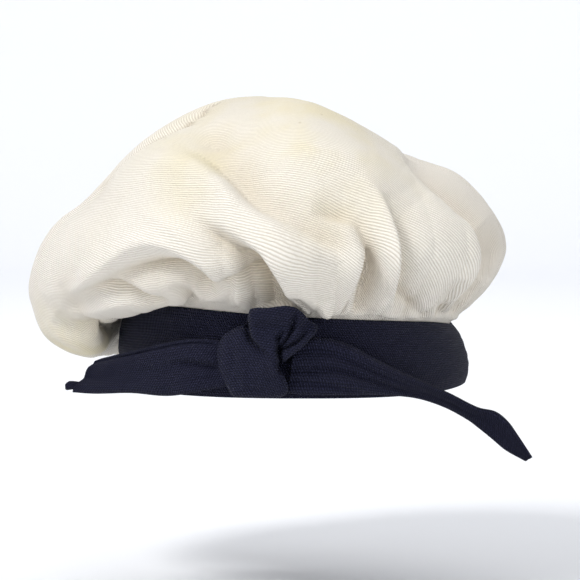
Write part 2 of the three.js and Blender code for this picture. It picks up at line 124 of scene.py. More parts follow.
def centripetal(knots: Array, steps: int) -> Array:
    """A smooth curve through knots, the same kind as the solids are drawn with.

    Args:
        knots: Points in rows, with any number of curves side by side.
        steps: How many points come from each stretch.

    Returns:
        The points in rows, the last knot included.
    """
    ends = [2 * knots[0] - knots[1], *knots, 2 * knots[-1] - knots[-2]]
    t = (np.arange(steps) / steps).reshape(-1, *([1] * (knots.ndim - 1)))
    rows = []
    for p0, p1, p2, p3 in zip(ends, ends[1:], ends[2:], ends[3:]):
        d0, d1, d2 = (
            np.sqrt(np.linalg.norm(b - a, axis=-1, keepdims=True)) for a, b in ((p0, p1), (p1, p2), (p2, p3))
        )
        m1 = ((p1 - p0) / d0 - (p2 - p0) / (d0 + d1) + (p2 - p1) / d1) * d1
        m2 = ((p2 - p1) / d1 - (p3 - p1) / (d1 + d2) + (p3 - p2) / d2) * d1
        c2, c3 = -3 * p1 + 3 * p2 - 2 * m1 - m2, 2 * p1 - 2 * p2 + m1 + m2
        rows.append(p1 + m1 * t + c2 * t**2 + c3 * t**3)
    return np.concatenate([*rows, knots[-1:]])


class Noise:
    """Smooth random bumps over a plane, from a fixed seed."""

    GRID = 256  # cells before the bumps repeat

    def __init__(self, seed: int) -> None:
        """Draws the slopes at the grid's corners from a seed."""
        angles = np.random.default_rng(seed).random((self.GRID, self.GRID)) * math.tau
        self.slopes = np.stack([np.cos(angles), np.sin(angles)], axis=-1)

    def at(self, u: Array, v: Array) -> Array:
        """Heights of about -1 to 1, for bumps about one unit apart."""
        iu, iv = np.floor(u).astype(int), np.floor(v).astype(int)
        fu, fv = u - iu, v - iv
        wu, wv = (f**3 * (f * (f * 6 - 15) + 10) for f in (fu, fv))

        def corner(du: int, dv: int) -> Array:
            """What one corner of the cell adds."""
            slope = self.slopes[(iu + du) % self.GRID, (iv + dv) % self.GRID]
            return slope[..., 0] * (fu - du) + slope[..., 1] * (fv - dv)

        low = corner(0, 0) * (1 - wu) + corner(1, 0) * wu
        high = corner(0, 1) * (1 - wu) + corner(1, 1) * wu
        return 1.5 * (low * (1 - wv) + high * wv)

    def ridges(self, u: Array, v: Array) -> Array:
        """Thin soft ridges of height 0 to 1, such as creases that were pressed in."""
        return np.clip(1 - np.abs(self.at(u, v)) * 2.2, 0, 1) ** 2


@dataclass(frozen=True)
class Fold:
    """A ridge or a crease in cloth.

    Attributes:
        path: Places along it as across, up and rise. Rise is in millimetres.
        left: How far it spreads to the left of someone who walks along it, in millimetres.
        right: How far it spreads to the right.
        roll: How far its crest leans over to the right, in millimetres.
        sharp: 2 is a round fold, and less is sharper.
    """

    path: tuple[tuple[float, float, float], ...]
    left: float
    right: float
    roll: float = 0.0
    sharp: float = 1.7

    def shape(self, x: Array, y: Array, unit_x: float, unit_y: float) -> tuple[Array, Array, Array]:
        """Works out the fold on a flat view of the cloth.

        Args:
            x: Places across, in millimetres.
            y: Places up, in millimetres.
            unit_x: Millimetres in one unit of the path's first number.
            unit_y: Millimetres in one unit of its second.

        Returns:
            How far each place rises, and how far it is pushed across and up, in millimetres.
        """
        knots = np.array(self.path) * (unit_x, unit_y, 1)
        line = centripetal(knots, 6)
        reach = 3 * max(self.left, self.right)
        low, high = line[:, :2].min(0) - reach, line[:, :2].max(0) + reach
        near = np.flatnonzero((x > low[0]) & (x < high[0]) & (y > low[1]) & (y < high[1]))
        rise, push_x, push_y = np.zeros((3, len(x)))
        if not len(near):
            return rise, push_x, push_y
        px, py = x[near], y[near]
        best = np.full(len(near), np.inf)
        tall, wide, side_x, side_y = np.zeros((4, len(near)))
        for a, b in zip(line, line[1:]):
            dx, dy, dr = b - a
            length = math.hypot(dx, dy) + 1e-9
            t = np.clip(((px - a[0]) * dx + (py - a[1]) * dy) / length**2, 0, 1)
            away = np.hypot(px - a[0] - t * dx, py - a[1] - t * dy)
            closer = away < best
            on_left = (dx * (py - a[1]) - dy * (px - a[0])) > 0
            best = np.where(closer, away, best)
            tall = np.where(closer, a[2] + t * dr, tall)
            wide = np.where(closer, np.where(on_left, self.left, self.right), wide)
            side_x = np.where(closer, dy / length, side_x)
            side_y = np.where(closer, -dx / length, side_y)
        form = tall * np.exp(-((best / wide) ** self.sharp))
        rise[near] = form
        push = self.roll * form / max(np.abs(knots[:, 2]).max(), 1e-9)
        push_x[near], push_y[near] = push * side_x, push * side_y
        return rise, push_x, push_y


# The cap's form


@dataclass(frozen=True)
class CapSizes:
    """The named sizes of the solids, in millimetres."""

    opening_width: float = 168
    opening_depth: float = 184
    band_height: float = 38
    band_wall: float = 1.6
    reach_right: float = 107
    reach_left: float = 133
    reach_back: float = 116
    reach_front: float = 121
    crown_height: float = 108
    crown_wall: float = 1.2
    spill_out: float = 3
    spill_up: float = 4.8
    tuck: float = 7
    pole_left: float = 17
    pole_back: float = 12
    clearance: float = 0.5
    knot_left: float = 14
    knot_depth: float = 12

    @property
    def knot_span(self) -> float:
        """From the knot's middle to its far corner."""
        return self.band_height * 0.68

    @property
    def half_width(self) -> float:
        """Half the crown's width."""
        return (self.reach_left + self.reach_right) / 2


SIZES = CapSizes()

BAND_SECTIONS = Table(
    "bearing top_out belly_out bottom_out top_up bottom_up",
    [
        (-180, -0.02, 0.06, 0.0, 0.0, 0.0),
        (-90, 0.0, 0.26, 0.0, 0.06, 0.05),
        (-45, -0.02, 0.12, 0.0, 0.16, 0.07),
        (0, -0.02, 0.06, 0.0, 0.08, 0.09),
        (45, -0.04, 0.1, 0.0, -0.04, 0.06),
        (90, -0.1, 0.2, 0.08, -0.18, 0.07),
        (135, -0.04, 0.08, 0.0, -0.08, 0.0),
    ],
    period=360,
)

CROWN_SECTIONS = Table(
    "bearing sag_out sag_up reach_up shoulder_out shoulder_up crest_out crest_up",
    [
        (-180, 0.9, -0.1, 0.2, 0.84, 0.6, 0.4, 0.9),
        (-135, 0.86, -0.25, 0.06, 0.83, 0.5, 0.42, 0.88),
        (-90, 0.77, -0.19, 0.07, 0.8, 0.48, 0.43, 0.9),
        (-45, 0.84, 0.04, 0.24, 0.84, 0.62, 0.46, 0.93),
        (0, 0.86, 0.15, 0.36, 0.84, 0.7, 0.46, 0.94),
        (45, 0.88, 0.1, 0.3, 0.81, 0.6, 0.4, 0.84),
        (90, 0.84, 0.02, 0.3, 0.78, 0.63, 0.4, 0.73),
        (135, 0.88, 0.0, 0.24, 0.84, 0.6, 0.42, 0.82),
    ],
    period=360,
)

SEAMS = Table(
    "climb left right",
    [
        (0, -112, 84),
        (0.3, -108, 84),
        (0.44, -99, 84),
        (0.54, -84, 84),
        (0.62, -66, 84),
        (0.69, -54, 84),
        (0.77, -50, 84),
        (0.86, -60, 84),
        (0.94, -78, 84),
        (1, -97, 83),
    ],
)


def direction(bearing: Array) -> Array:
    """The level direction away from the middle at each bearing."""
    turn = np.radians(bearing)
    return np.stack([np.sin(turn), -np.cos(turn), np.zeros_like(turn)], axis=-1)


def oval(bearing: Array, right: float, left: float, back: float, front: float) -> Array:
    """How far an oval made of four reaches lies out at each bearing."""
    d = direction(bearing)
    across = d[..., 0] / np.where(d[..., 0] > 0, right, left)
    along = d[..., 1] / np.where(d[..., 1] > 0, front, back)
    return 1 / np.hypot(across, along)


def band_point(bearing: Array, share: Array | float, depth: Array | float) -> Array:
    """Places on the sash.

    Args:
        bearing: Degrees from the back round towards the right.
        share: From 0 at its lower edge to 1 at its upper edge.
        depth: How far in from its outside.

    Returns:
        The points, in millimetres.
    """
    s = SIZES
    bearing, share, depth = np.broadcast_arrays(np.asarray(bearing, float), share, depth)
    at = {name: BAND_SECTIONS.at(name, bearing) * s.band_height for name in BAND_SECTIONS.columns}
    out = (
        (1 - share) ** 2 * at["bottom_out"]
        + 2 * share * (1 - share) * at["belly_out"]
        + share**2 * at["top_out"]
    )
    half_width, half_depth = s.opening_width / 2, s.opening_depth / 2
    radius = oval(bearing, half_width, half_width, half_depth, half_depth) + out - depth
    low, high = at["bottom_up"], s.band_height + at["top_up"]
    point = direction(bearing) * radius[..., None]
    point[..., 2] = low + share * (high - low)
    return point


def sash_face(x: Array) -> Array:
    """How far back the sash's outside lies at places across the cap, half way up it."""
    bearings = np.linspace(-90, 90, 721)
    edge = band_point(bearings, 0.5, 0.0)
    return np.interp(x, edge[:, 0], edge[:, 1])


class CrownForm:
    """The crown's smooth form under its folds, kept as a fine table of points."""

    STEP = 0.5  # degrees between its bearings
    BEARINGS = np.arange(-180, 180 + STEP, STEP)
    CLIMBS = np.concatenate([np.linspace(-1, 0, 40, endpoint=False), np.linspace(0, 1, 301)])

    def __init__(self) -> None:
        """Works out the profile at each bearing."""
        knots = self._knots(self.BEARINGS)
        beyond = self._knots(self.BEARINGS + 180)[-2:][::-1]
        pole = np.broadcast_to(self.pole(), knots[:1].shape)
        steps, stretches, spill_knot = 16, len(knots), 3
        line = centripetal(np.concatenate([knots, pole, beyond]), steps)[: stretches * steps + 1]
        gaps = np.linalg.norm(np.diff(line, axis=0), axis=-1)
        lengths = np.vstack([np.zeros(len(self.BEARINGS)), np.cumsum(gaps, axis=0)])
        self.spill = lengths[spill_knot * steps]
        self.length = lengths[-1] - self.spill
        places = np.zeros((len(self.BEARINGS), len(self.CLIMBS), 3))
        for i, (spill, length) in enumerate(zip(self.spill, self.length)):
            wanted = np.where(self.CLIMBS < 0, spill * (1 + self.CLIMBS), spill + self.CLIMBS * length)
            for axis in range(3):
                places[i, :, axis] = np.interp(wanted, lengths[:, i], line[:, i, axis])
        self.places = places
        around = np.roll(places[:-1], -1, axis=0) - np.roll(places[:-1], 1, axis=0)
        around = np.concatenate([around, around[:1]])
        up = np.gradient(places, axis=1)
        normals = unit(np.cross(around, up))
        normals[:, -3:] = normals[:, -4:-3]
        top = unit(normals[:, -1].mean(0))
        share = np.linspace(0, 1, 12)[None, :, None]
        normals[:, -12:] = unit(normals[:, -12:] * (1 - share) + top * share)
        self.normals = normals

    @staticmethod
    def pole() -> Array:
        """Where the panels' points meet."""
        return np.array([-SIZES.pole_left, -SIZES.pole_back, SIZES.band_height + SIZES.crown_height])

    @staticmethod
    def _knots(bearing: Array) -> Array:
        """The points that the profile passes through, from its tucked edge up to the crest."""
        s = SIZES
        at = {name: CROWN_SECTIONS.at(name, bearing) for name in CROWN_SECTIONS.columns}
        reach = oval(bearing, s.reach_right, s.reach_left, s.reach_back, s.reach_front)
        away = direction(bearing)

        def place(out: Array | float, up: Array) -> Array:
            """A point at shares of the reach and of the crown's height."""
            point = away * (out * reach)[..., None]
            point[..., 2] = s.band_height + up * s.crown_height
            return point

        inside = s.band_wall + s.clearance
        spill = band_point(bearing, 1.0, 0.0) + away * s.spill_out + np.array([0, 0, s.spill_up])
        return np.stack(
            [
                band_point(bearing, 1 - s.tuck / s.band_height, inside),
                band_point(bearing, 1 - s.tuck / s.band_height / 2, inside),
                band_point(bearing, 1.0, inside),
                spill,
                place(at["sag_out"], at["sag_up"]),
                place(1.0, at["reach_up"]),
                place(at["shoulder_out"], at["shoulder_up"]),
                place(at["crest_out"], at["crest_up"]),
            ]
        )

    def read(self, table: Array, bearing: Array, climb: Array) -> Array:
        """Reads a table of the form between its own places."""
        b = np.mod(bearing + 180, 360) / self.STEP
        ib = np.minimum(np.floor(b).astype(int), len(self.BEARINGS) - 2)
        fb = (b - ib)[..., None]
        ic = np.clip(np.searchsorted(self.CLIMBS, climb, side="right") - 1, 0, len(self.CLIMBS) - 2)
        fc = ((climb - self.CLIMBS[ic]) / (self.CLIMBS[ic + 1] - self.CLIMBS[ic]))[..., None]
        low = table[ib, ic] * (1 - fb) + table[ib + 1, ic] * fb
        high = table[ib, ic + 1] * (1 - fb) + table[ib + 1, ic + 1] * fb
        return low * (1 - fc) + high * fc

    def climbed(self, bearing: Array, climb: Array) -> Array:
        """The length of cloth from where it leaves the sash, in millimetres."""
        b = np.mod(bearing + 180, 360) - 180
        length = np.interp(b, self.BEARINGS, self.length)
        spill = np.interp(b, self.BEARINGS, self.spill)
        return np.where(climb < 0, climb * spill, climb * length)

    def from_pole(self, bearing: Array, climb: Array) -> Array:
        """The length of cloth from the pole, in millimetres."""
        b = np.mod(bearing + 180, 360) - 180
        return np.interp(b, self.BEARINGS, self.length) - self.climbed(bearing, climb)


class Side(Enum):
    """The side that a set of folds is drawn from."""

    BACK = "back"
    FRONT = "front"
    LEFT = "left"
    RIGHT = "right"
    TOP = "top"


BACK_FOLDS = (
    # The crease over the big roll, the roll, its crisp lower edge and the hollow under it
    Fold(((-0.47, 0.79, 0), (-0.41, 0.765, -1), (-0.33, 0.72, -3.6), (-0.24, 0.64, -6.2), (-0.15, 0.54, -6.4),
          (-0.02, 0.46, -4.8), (0.12, 0.38, -3.5), (0.24, 0.3, 0)), 12, 3.8),
    Fold(((-0.76, 0.58, 0), (-0.54, 0.69, 3.5), (-0.37, 0.65, 5), (-0.23, 0.555, 6), (-0.11, 0.46, 6),
          (0, 0.34, 6), (0.07, 0.2, 5), (0.15, 0.03, 1)), 13, 10),
    Fold(((-0.44, 0.5, 0), (-0.31, 0.46, 2), (-0.2, 0.405, 4), (-0.11, 0.35, 5), (-0.045, 0.27, 5.5),
          (0.0, 0.17, 5), (0.045, 0.09, 3.5), (0.1, 0.01, 0.5)), 9, 2.4, roll=2.5),
    Fold(((-0.42, 0.45, 0), (-0.32, 0.415, -2), (-0.23, 0.36, -4.5), (-0.155, 0.3, -6), (-0.09, 0.22, -6.5),
          (-0.05, 0.13, -6), (0, 0.04, -4)), 3, 9),
    Fold(((-0.39, 0.17, 0), (-0.29, 0.19, -2.5), (-0.19, 0.21, -3.5), (-0.09, 0.205, -1.5)), 2.2, 5),
    # The lower roll at the left, with its creases and dimple
    Fold(((-0.97, 0.04, 0), (-0.9, 0.13, 2), (-0.77, 0.25, 4.5), (-0.66, 0.33, 6), (-0.56, 0.37, 6.5),
          (-0.44, 0.35, 6), (-0.34, 0.29, 5), (-0.26, 0.17, 2)), 10, 4, roll=2.5),
    Fold(((-0.8, 0.14, 0), (-0.67, 0.235, -2.5), (-0.53, 0.285, -4.5), (-0.42, 0.265, -5), (-0.345, 0.19, -4),
          (-0.31, 0.12, 0)), 2.6, 7),
    Fold(((-0.64, 0.5, 0), (-0.51, 0.45, 2), (-0.41, 0.39, 2.5), (-0.31, 0.33, 0)), 6, 2.6),
    Fold(((-0.46, 0.52, 0), (-0.33, 0.44, -1.6), (-0.24, 0.39, -1.5), (-0.17, 0.34, 0)), 4, 2),
    Fold(((-0.88, 0.11, 0), (-0.77, 0.165, -2.2), (-0.67, 0.15, -3.5), (-0.57, 0.105, -3.5),
          (-0.49, 0.09, 0)), 1.8, 3.4),
    Fold(((-0.94, -0.02, 0), (-0.82, 0.03, 2), (-0.7, 0.09, 3), (-0.56, 0.06, 0)), 4.5, 5),
    # The lip at the lower left, turned under
    Fold(((-1.02, -0.02, 0), (-0.93, -0.09, 1.5), (-0.8, -0.13, 2.6), (-0.68, -0.13, 1.4)), 3.2, 5),
    Fold(((-0.98, 0.0, 0), (-0.88, -0.045, -3.6), (-0.76, -0.065, -5), (-0.66, -0.05, -3)), 3.4, 2.4),
    # The dark dip right of the middle, its crisp ridge, and the pleat beside it
    Fold(((0.31, 0.42, 0), (0.275, 0.34, 2.2), (0.235, 0.25, 3.2), (0.2, 0.16, 3.2), (0.165, 0.07, 2.4),
          (0.15, 0.0, 1)), 2, 7, roll=-1.5),
    Fold(((0.25, 0.5, 0), (0.275, 0.42, -3), (0.297, 0.32, -5.5), (0.3, 0.22, -6), (0.275, 0.12, -4.5),
          (0.24, 0.01, -2)), 4.4, 3.6),
    Fold(((0.24, 0.64, 0), (0.31, 0.54, 2.5), (0.355, 0.43, 5), (0.378, 0.3, 6.2), (0.37, 0.18, 5.5),
          (0.34, 0.04, 2.5)), 2.6, 5, roll=-1.5),
    Fold(((0.34, 0.56, 0), (0.405, 0.43, -1.8), (0.428, 0.3, -2.8), (0.42, 0.18, -3), (0.4, 0.05, -2)),
         7, 1.8),
    Fold(((0.06, 0.52, 0), (0.14, 0.505, -2.6), (0.21, 0.485, -3.2), (0.29, 0.44, 0)), 7, 3),
    Fold(((0.44, 0.58, 0), (0.48, 0.48, 2), (0.53, 0.35, 3), (0.56, 0.15, 1)), 13, 12),
    # Short creases above the sash at the right
    Fold(((0.39, 0.155, 0), (0.42, 0.12, -2), (0.46, 0.075, -2.6), (0.53, -0.015, -1.6)), 3.5, 1.6),
    Fold(((0.585, 0.09, 0), (0.578, 0.03, -2), (0.565, 0, -1)), 2, 2),
    Fold(((0.65, 0.22, 0), (0.635, 0.17, -1.6), (0.61, 0.09, -2.4), (0.595, 0, -1.6)), 1.8, 3.4),
    # The near cloth's edge in front of the right-hand lobe, and the valley behind it
    Fold(((0.44, 0.68, 0), (0.52, 0.58, 2), (0.6, 0.47, 3.5), (0.665, 0.385, 6), (0.69, 0.28, 6.5),
          (0.67, 0.16, 4), (0.62, 0.05, 1)), 2.2, 10, roll=-2),
    Fold(((0.43, 0.76, 0), (0.47, 0.7, -1.5), (0.55, 0.605, -3.5), (0.645, 0.505, -5), (0.715, 0.41, -6.5),
          (0.742, 0.28, -7.5), (0.72, 0.165, -6), (0.675, 0.07, -3), (0.64, 0.0, -1)), 7, 3.4),
    Fold(((0.8, 0.45, 0), (0.84, 0.385, -2.6), (0.855, 0.3, -3.6), (0.84, 0.21, -2.6), (0.79, 0.14, 0)),
         4.5, 8, sharp=2),
    # The broad dome above, with a dip under the seam
    Fold(((-0.14, 0.88, 0), (0.0, 0.83, 4), (0.14, 0.76, 5), (0.34, 0.6, 4), (0.42, 0.48, 0)), 20, 20),
    Fold(((-0.42, 0.8, 0), (-0.33, 0.81, -2), (-0.22, 0.79, 0)), 6, 4),
    # Pleats that start at the sash
    Fold(((-0.5, 0.17, 0), (-0.44, 0.14, -1.6), (-0.4, 0.09, -2.6), (-0.38, 0.02, -1.6)), 2, 2.6),
    Fold(((-0.22, 0.22, 0), (-0.225, 0.14, 2), (-0.23, 0.07, 2), (-0.23, 0.01, 1)), 2.6, 2.2),
    Fold(((-0.02, 0.2, 0), (0.02, 0.16, -1.6), (0.065, 0.09, -2.2), (0.11, 0.015, -1.6)), 1.6, 2.4),
    Fold(((0.06, 0.19, 0), (0.09, 0.13, 0.8), (0.125, 0.07, 1), (0.145, 0.02, 0.8)), 2.2, 1.6),
    Fold(((0.215, 0.18, 0), (0.2, 0.12, -1.6), (0.185, 0.07, -2.2), (0.17, 0.02, -1.6)), 1.6, 2),
    Fold(((0.35, 0.16, 0), (0.33, 0.11, 1.6), (0.3, 0.01, 1.6)), 2.4, 2.4),
)

FRONT_FOLDS = (
    Fold(((-0.5, 0.7, 0), (-0.3, 0.48, -4.5), (-0.18, 0.26, -5), (-0.15, 0.03, -3)), 11, 12),
    Fold(((-0.66, 0.5, 0), (-0.46, 0.36, 4), (-0.34, 0.18, 4), (-0.3, 0.02, 2)), 8, 6, roll=2),
    Fold(((-0.1, 0.75, 0), (0.14, 0.52, 5.5), (0.36, 0.38, 5), (0.62, 0.3, 0)), 15, 12, roll=2),
    Fold(((0.05, 0.5, 0), (0.2, 0.33, -5), (0.28, 0.18, -5), (0.3, 0.03, -3)), 10, 11),
    Fold(((0.84, 0.32, 0), (0.66, 0.2, -4), (0.58, 0.1, -4), (0.55, 0.01, -2)), 9, 10),
    Fold(((0.62, 0.44, 0), (0.5, 0.24, 3.5), (0.44, 0.1, 4), (0.42, 0.01, 2)), 6, 6),
    Fold(((-0.04, 0.4, 0), (-0.02, 0.24, 3), (0.03, 0.1, 4), (0.06, 0.01, 2)), 6, 5),
    Fold(((-0.8, 0.3, 0), (-0.68, 0.12, 4), (-0.6, 0.0, 3)), 7, 7),
    Fold(((-0.52, 0.26, 0), (-0.48, 0.12, -3), (-0.45, 0.0, -2)), 5, 5),
    Fold(((0.14, 0.2, 0), (0.17, 0.1, 2.5), (0.18, 0.0, 1.5)), 3.5, 3.5),
)

LEFT_FOLDS = (
    # The lobe's fullness above and below its widest place
    Fold(((0.6, 0.3, 0), (0.35, 0.34, 3), (0.05, 0.36, 5), (-0.25, 0.38, 4), (-0.5, 0.42, 0)),
         17, 15, sharp=2),
    Fold(((0.5, -0.04, 0), (0.25, -0.08, 4), (0.0, -0.1, 5.5), (-0.3, -0.08, 4), (-0.5, -0.04, 0)),
         12, 10, sharp=2),
    Fold(((0.66, 0.3, 0), (0.52, 0.14, -4), (0.44, 0.0, -3)), 8, 8),
    Fold(((0.2, 0.66, 0), (0.32, 0.58, -2.5), (0.5, 0.6, 0)), 9, 9),
)

RIGHT_FOLDS = (
    Fold(((0.56, 0.48, 0), (0.44, 0.32, -3.5), (0.38, 0.16, -4), (0.37, 0.02, -2)), 8, 8),
    Fold(((0.36, 0.72, 0), (0.48, 0.62, -3), (0.64, 0.56, 0)), 10, 9),
    Fold(((-0.5, 0.02, 0), (-0.2, 0.0, -1.5), (0.1, -0.02, -3), (0.5, -0.02, -2), (0.7, 0, 0)), 9, 12),
)

TOP_FOLDS = (
    Fold(((-0.7, 0.1, 0), (-0.5, 0.18, -3), (-0.3, 0.14, -2.5), (-0.1, 0.2, 0)), 12, 14),
    Fold(((0.1, 0.0, 0), (0.3, 0.1, 2.5), (0.5, 0.08, 0)), 12, 12),
    Fold(((0.0, 0.3, 0), (0.15, 0.46, -3), (0.2, 0.62, 0)), 12, 12),
    Fold(((-0.4, 0.34, 0), (-0.28, 0.52, 3), (-0.3, 0.66, 0)), 10, 12),
)

FOLD_SIDES: dict[Side, tuple[Fold, ...]] = {
    Side.BACK: BACK_FOLDS,
    Side.FRONT: FRONT_FOLDS,
    Side.LEFT: LEFT_FOLDS,
    Side.RIGHT: RIGHT_FOLDS,
    Side.TOP: TOP_FOLDS,
}


RIB_FAN = 0.47  # the turn of the ribs for each degree round the cap, above the sash


@dataclass
class CrownRelief:
    """What the crown's cloth does on top of its smooth form: folds, gathers and small wrinkles.

    Attributes:
        form: The smooth form.
        gather_depth: How deep the pleats at the sash are, in millimetres.
        gather_length: How far up they reach, in millimetres.
        pleats: How many of them there are.
        deepen: How much deeper the back's creases are made than they are drawn.
        raised: The same for its ridges.
        seed: Where the pleats' random sizes start from.
        wrinkle: The height of the small unevenness, in millimetres.
        noise: The bumps that it is made of.
    """

    form: CrownForm
    gather_depth: float = 2.4
    gather_length: float = 28.0
    pleats: int = 48
    deepen: float = 1.75
    raised: float = 1.2
    seed: int = 7
    wrinkle: float = 0.32
    noise: Noise = field(default_factory=lambda: Noise(11))

    def _view(self, side: Side, base: Array) -> tuple[Array, Array, Array, Array, Array]:
        """How the base looks from one side.

        Args:
            side: The side.
            base: Points of the smooth form.

        Returns:
            Places across and up in millimetres, how fully each is seen, and the across and up axes.
        """
        s = SIZES
        rise = base[:, 2] - s.band_height
        up = np.array([0.0, 0.0, 1.0])
        if side is Side.BACK:
            return base[:, 0], rise, smooth(-base[:, 1] / s.reach_back, 0, 0.3), np.array([1.0, 0, 0]), up
        if side is Side.FRONT:
            return -base[:, 0], rise, smooth(base[:, 1] / s.reach_front, 0, 0.3), np.array([-1.0, 0, 0]), up
        if side is Side.LEFT:
            return -base[:, 1], rise, smooth(-base[:, 0] / s.reach_left, 0.5, 0.8), np.array([0, -1.0, 0]), up
        if side is Side.RIGHT:
            return base[:, 1], rise, smooth(base[:, 0] / s.reach_right, 0.55, 0.85), np.array([0, 1.0, 0]), up
        seen = smooth(rise / s.crown_height, 0.6, 0.85)
        return base[:, 0], base[:, 1], seen, np.array([1.0, 0, 0]), np.array([0, 1.0, 0])

    def folds(self, base: Array, normals: Array, climb: Array) -> Array:
        """How far the drawn folds move each point."""
        total = np.zeros_like(base)
        near_pole = 1 - smooth(climb, 0.88, 1)
        free = smooth(climb, -0.2, 0.09)
        for side, folds in FOLD_SIDES.items():
            x, y, seen, across, up = self._view(side, base)
            if side is Side.TOP:
                unit_y, fade = SIZES.reach_front, free
            else:
                unit_y, fade = SIZES.crown_height, free * near_pole
            for fold in folds:
                rise, push_x, push_y = fold.shape(x, y, SIZES.half_width, unit_y)
                push = push_x[:, None] * across + push_y[:, None] * up
                push -= (push * normals).sum(1, keepdims=True) * normals
                if side is Side.BACK:
                    rise = rise * np.where(rise < 0, self.deepen, self.raised)
                total += (seen * fade)[:, None] * (normals * rise[:, None] + push)
        return total

    def gathers(self, bearing: Array, climb: Array) -> Array:
        """The pleats where the cloth is drawn into the sash: round tops, sharp valleys, no two alike."""
        rng = np.random.default_rng(self.seed)
        climbed = np.maximum(self.form.climbed(bearing, climb), 0)
        widths = rng.uniform(0.55, 1.6, self.pleats)
        edges = -180 + 360 * np.concatenate([[0], np.cumsum(widths) / widths.sum()])
        heights = self.gather_depth * rng.uniform(0.4, 1.5, self.pleats) * np.sqrt(widths)
        lengths = self.gather_length * rng.uniform(0.4, 1.5, self.pleats)
        sway = self.noise.at(bearing / 40, climbed / 60) * climbed * 0.1
        spot = np.mod(bearing + sway + 180, 360) - 180
        i = np.clip(np.searchsorted(edges, spot, side="right") - 1, 0, self.pleats - 1)
        across = (2 * spot - edges[i] - edges[i + 1]) / (edges[i + 1] - edges[i])
        pleat = heights[i] * (1 - np.abs(across) ** 2.2) * np.exp(-climbed / lengths[i])
        drawn_in = self.gather_depth * 0.5 * np.exp(-climbed / self.gather_length)
        return smooth(climb, -0.4, 0.01) * (pleat - drawn_in)

    def wrinkles(self, flat: Array, climb: Array) -> Array:
        """Small soft unevenness, with a few pressed creases."""
        u, v = flat[:, 0], flat[:, 1]
        bend = self.noise.at(u / 60, v / 60) * 12
        broad = self.noise.at(u / 26 + 3, v / 26) * 0.9
        small = self.noise.at((u + bend) / 11, (v - bend) / 9) * 0.35
        creases = self.noise.ridges((u + bend) / 34 + 9, (v + bend) / 30) * 0.45
        return self.wrinkle * smooth(climb, 0, 0.06) * (broad + small + creases)


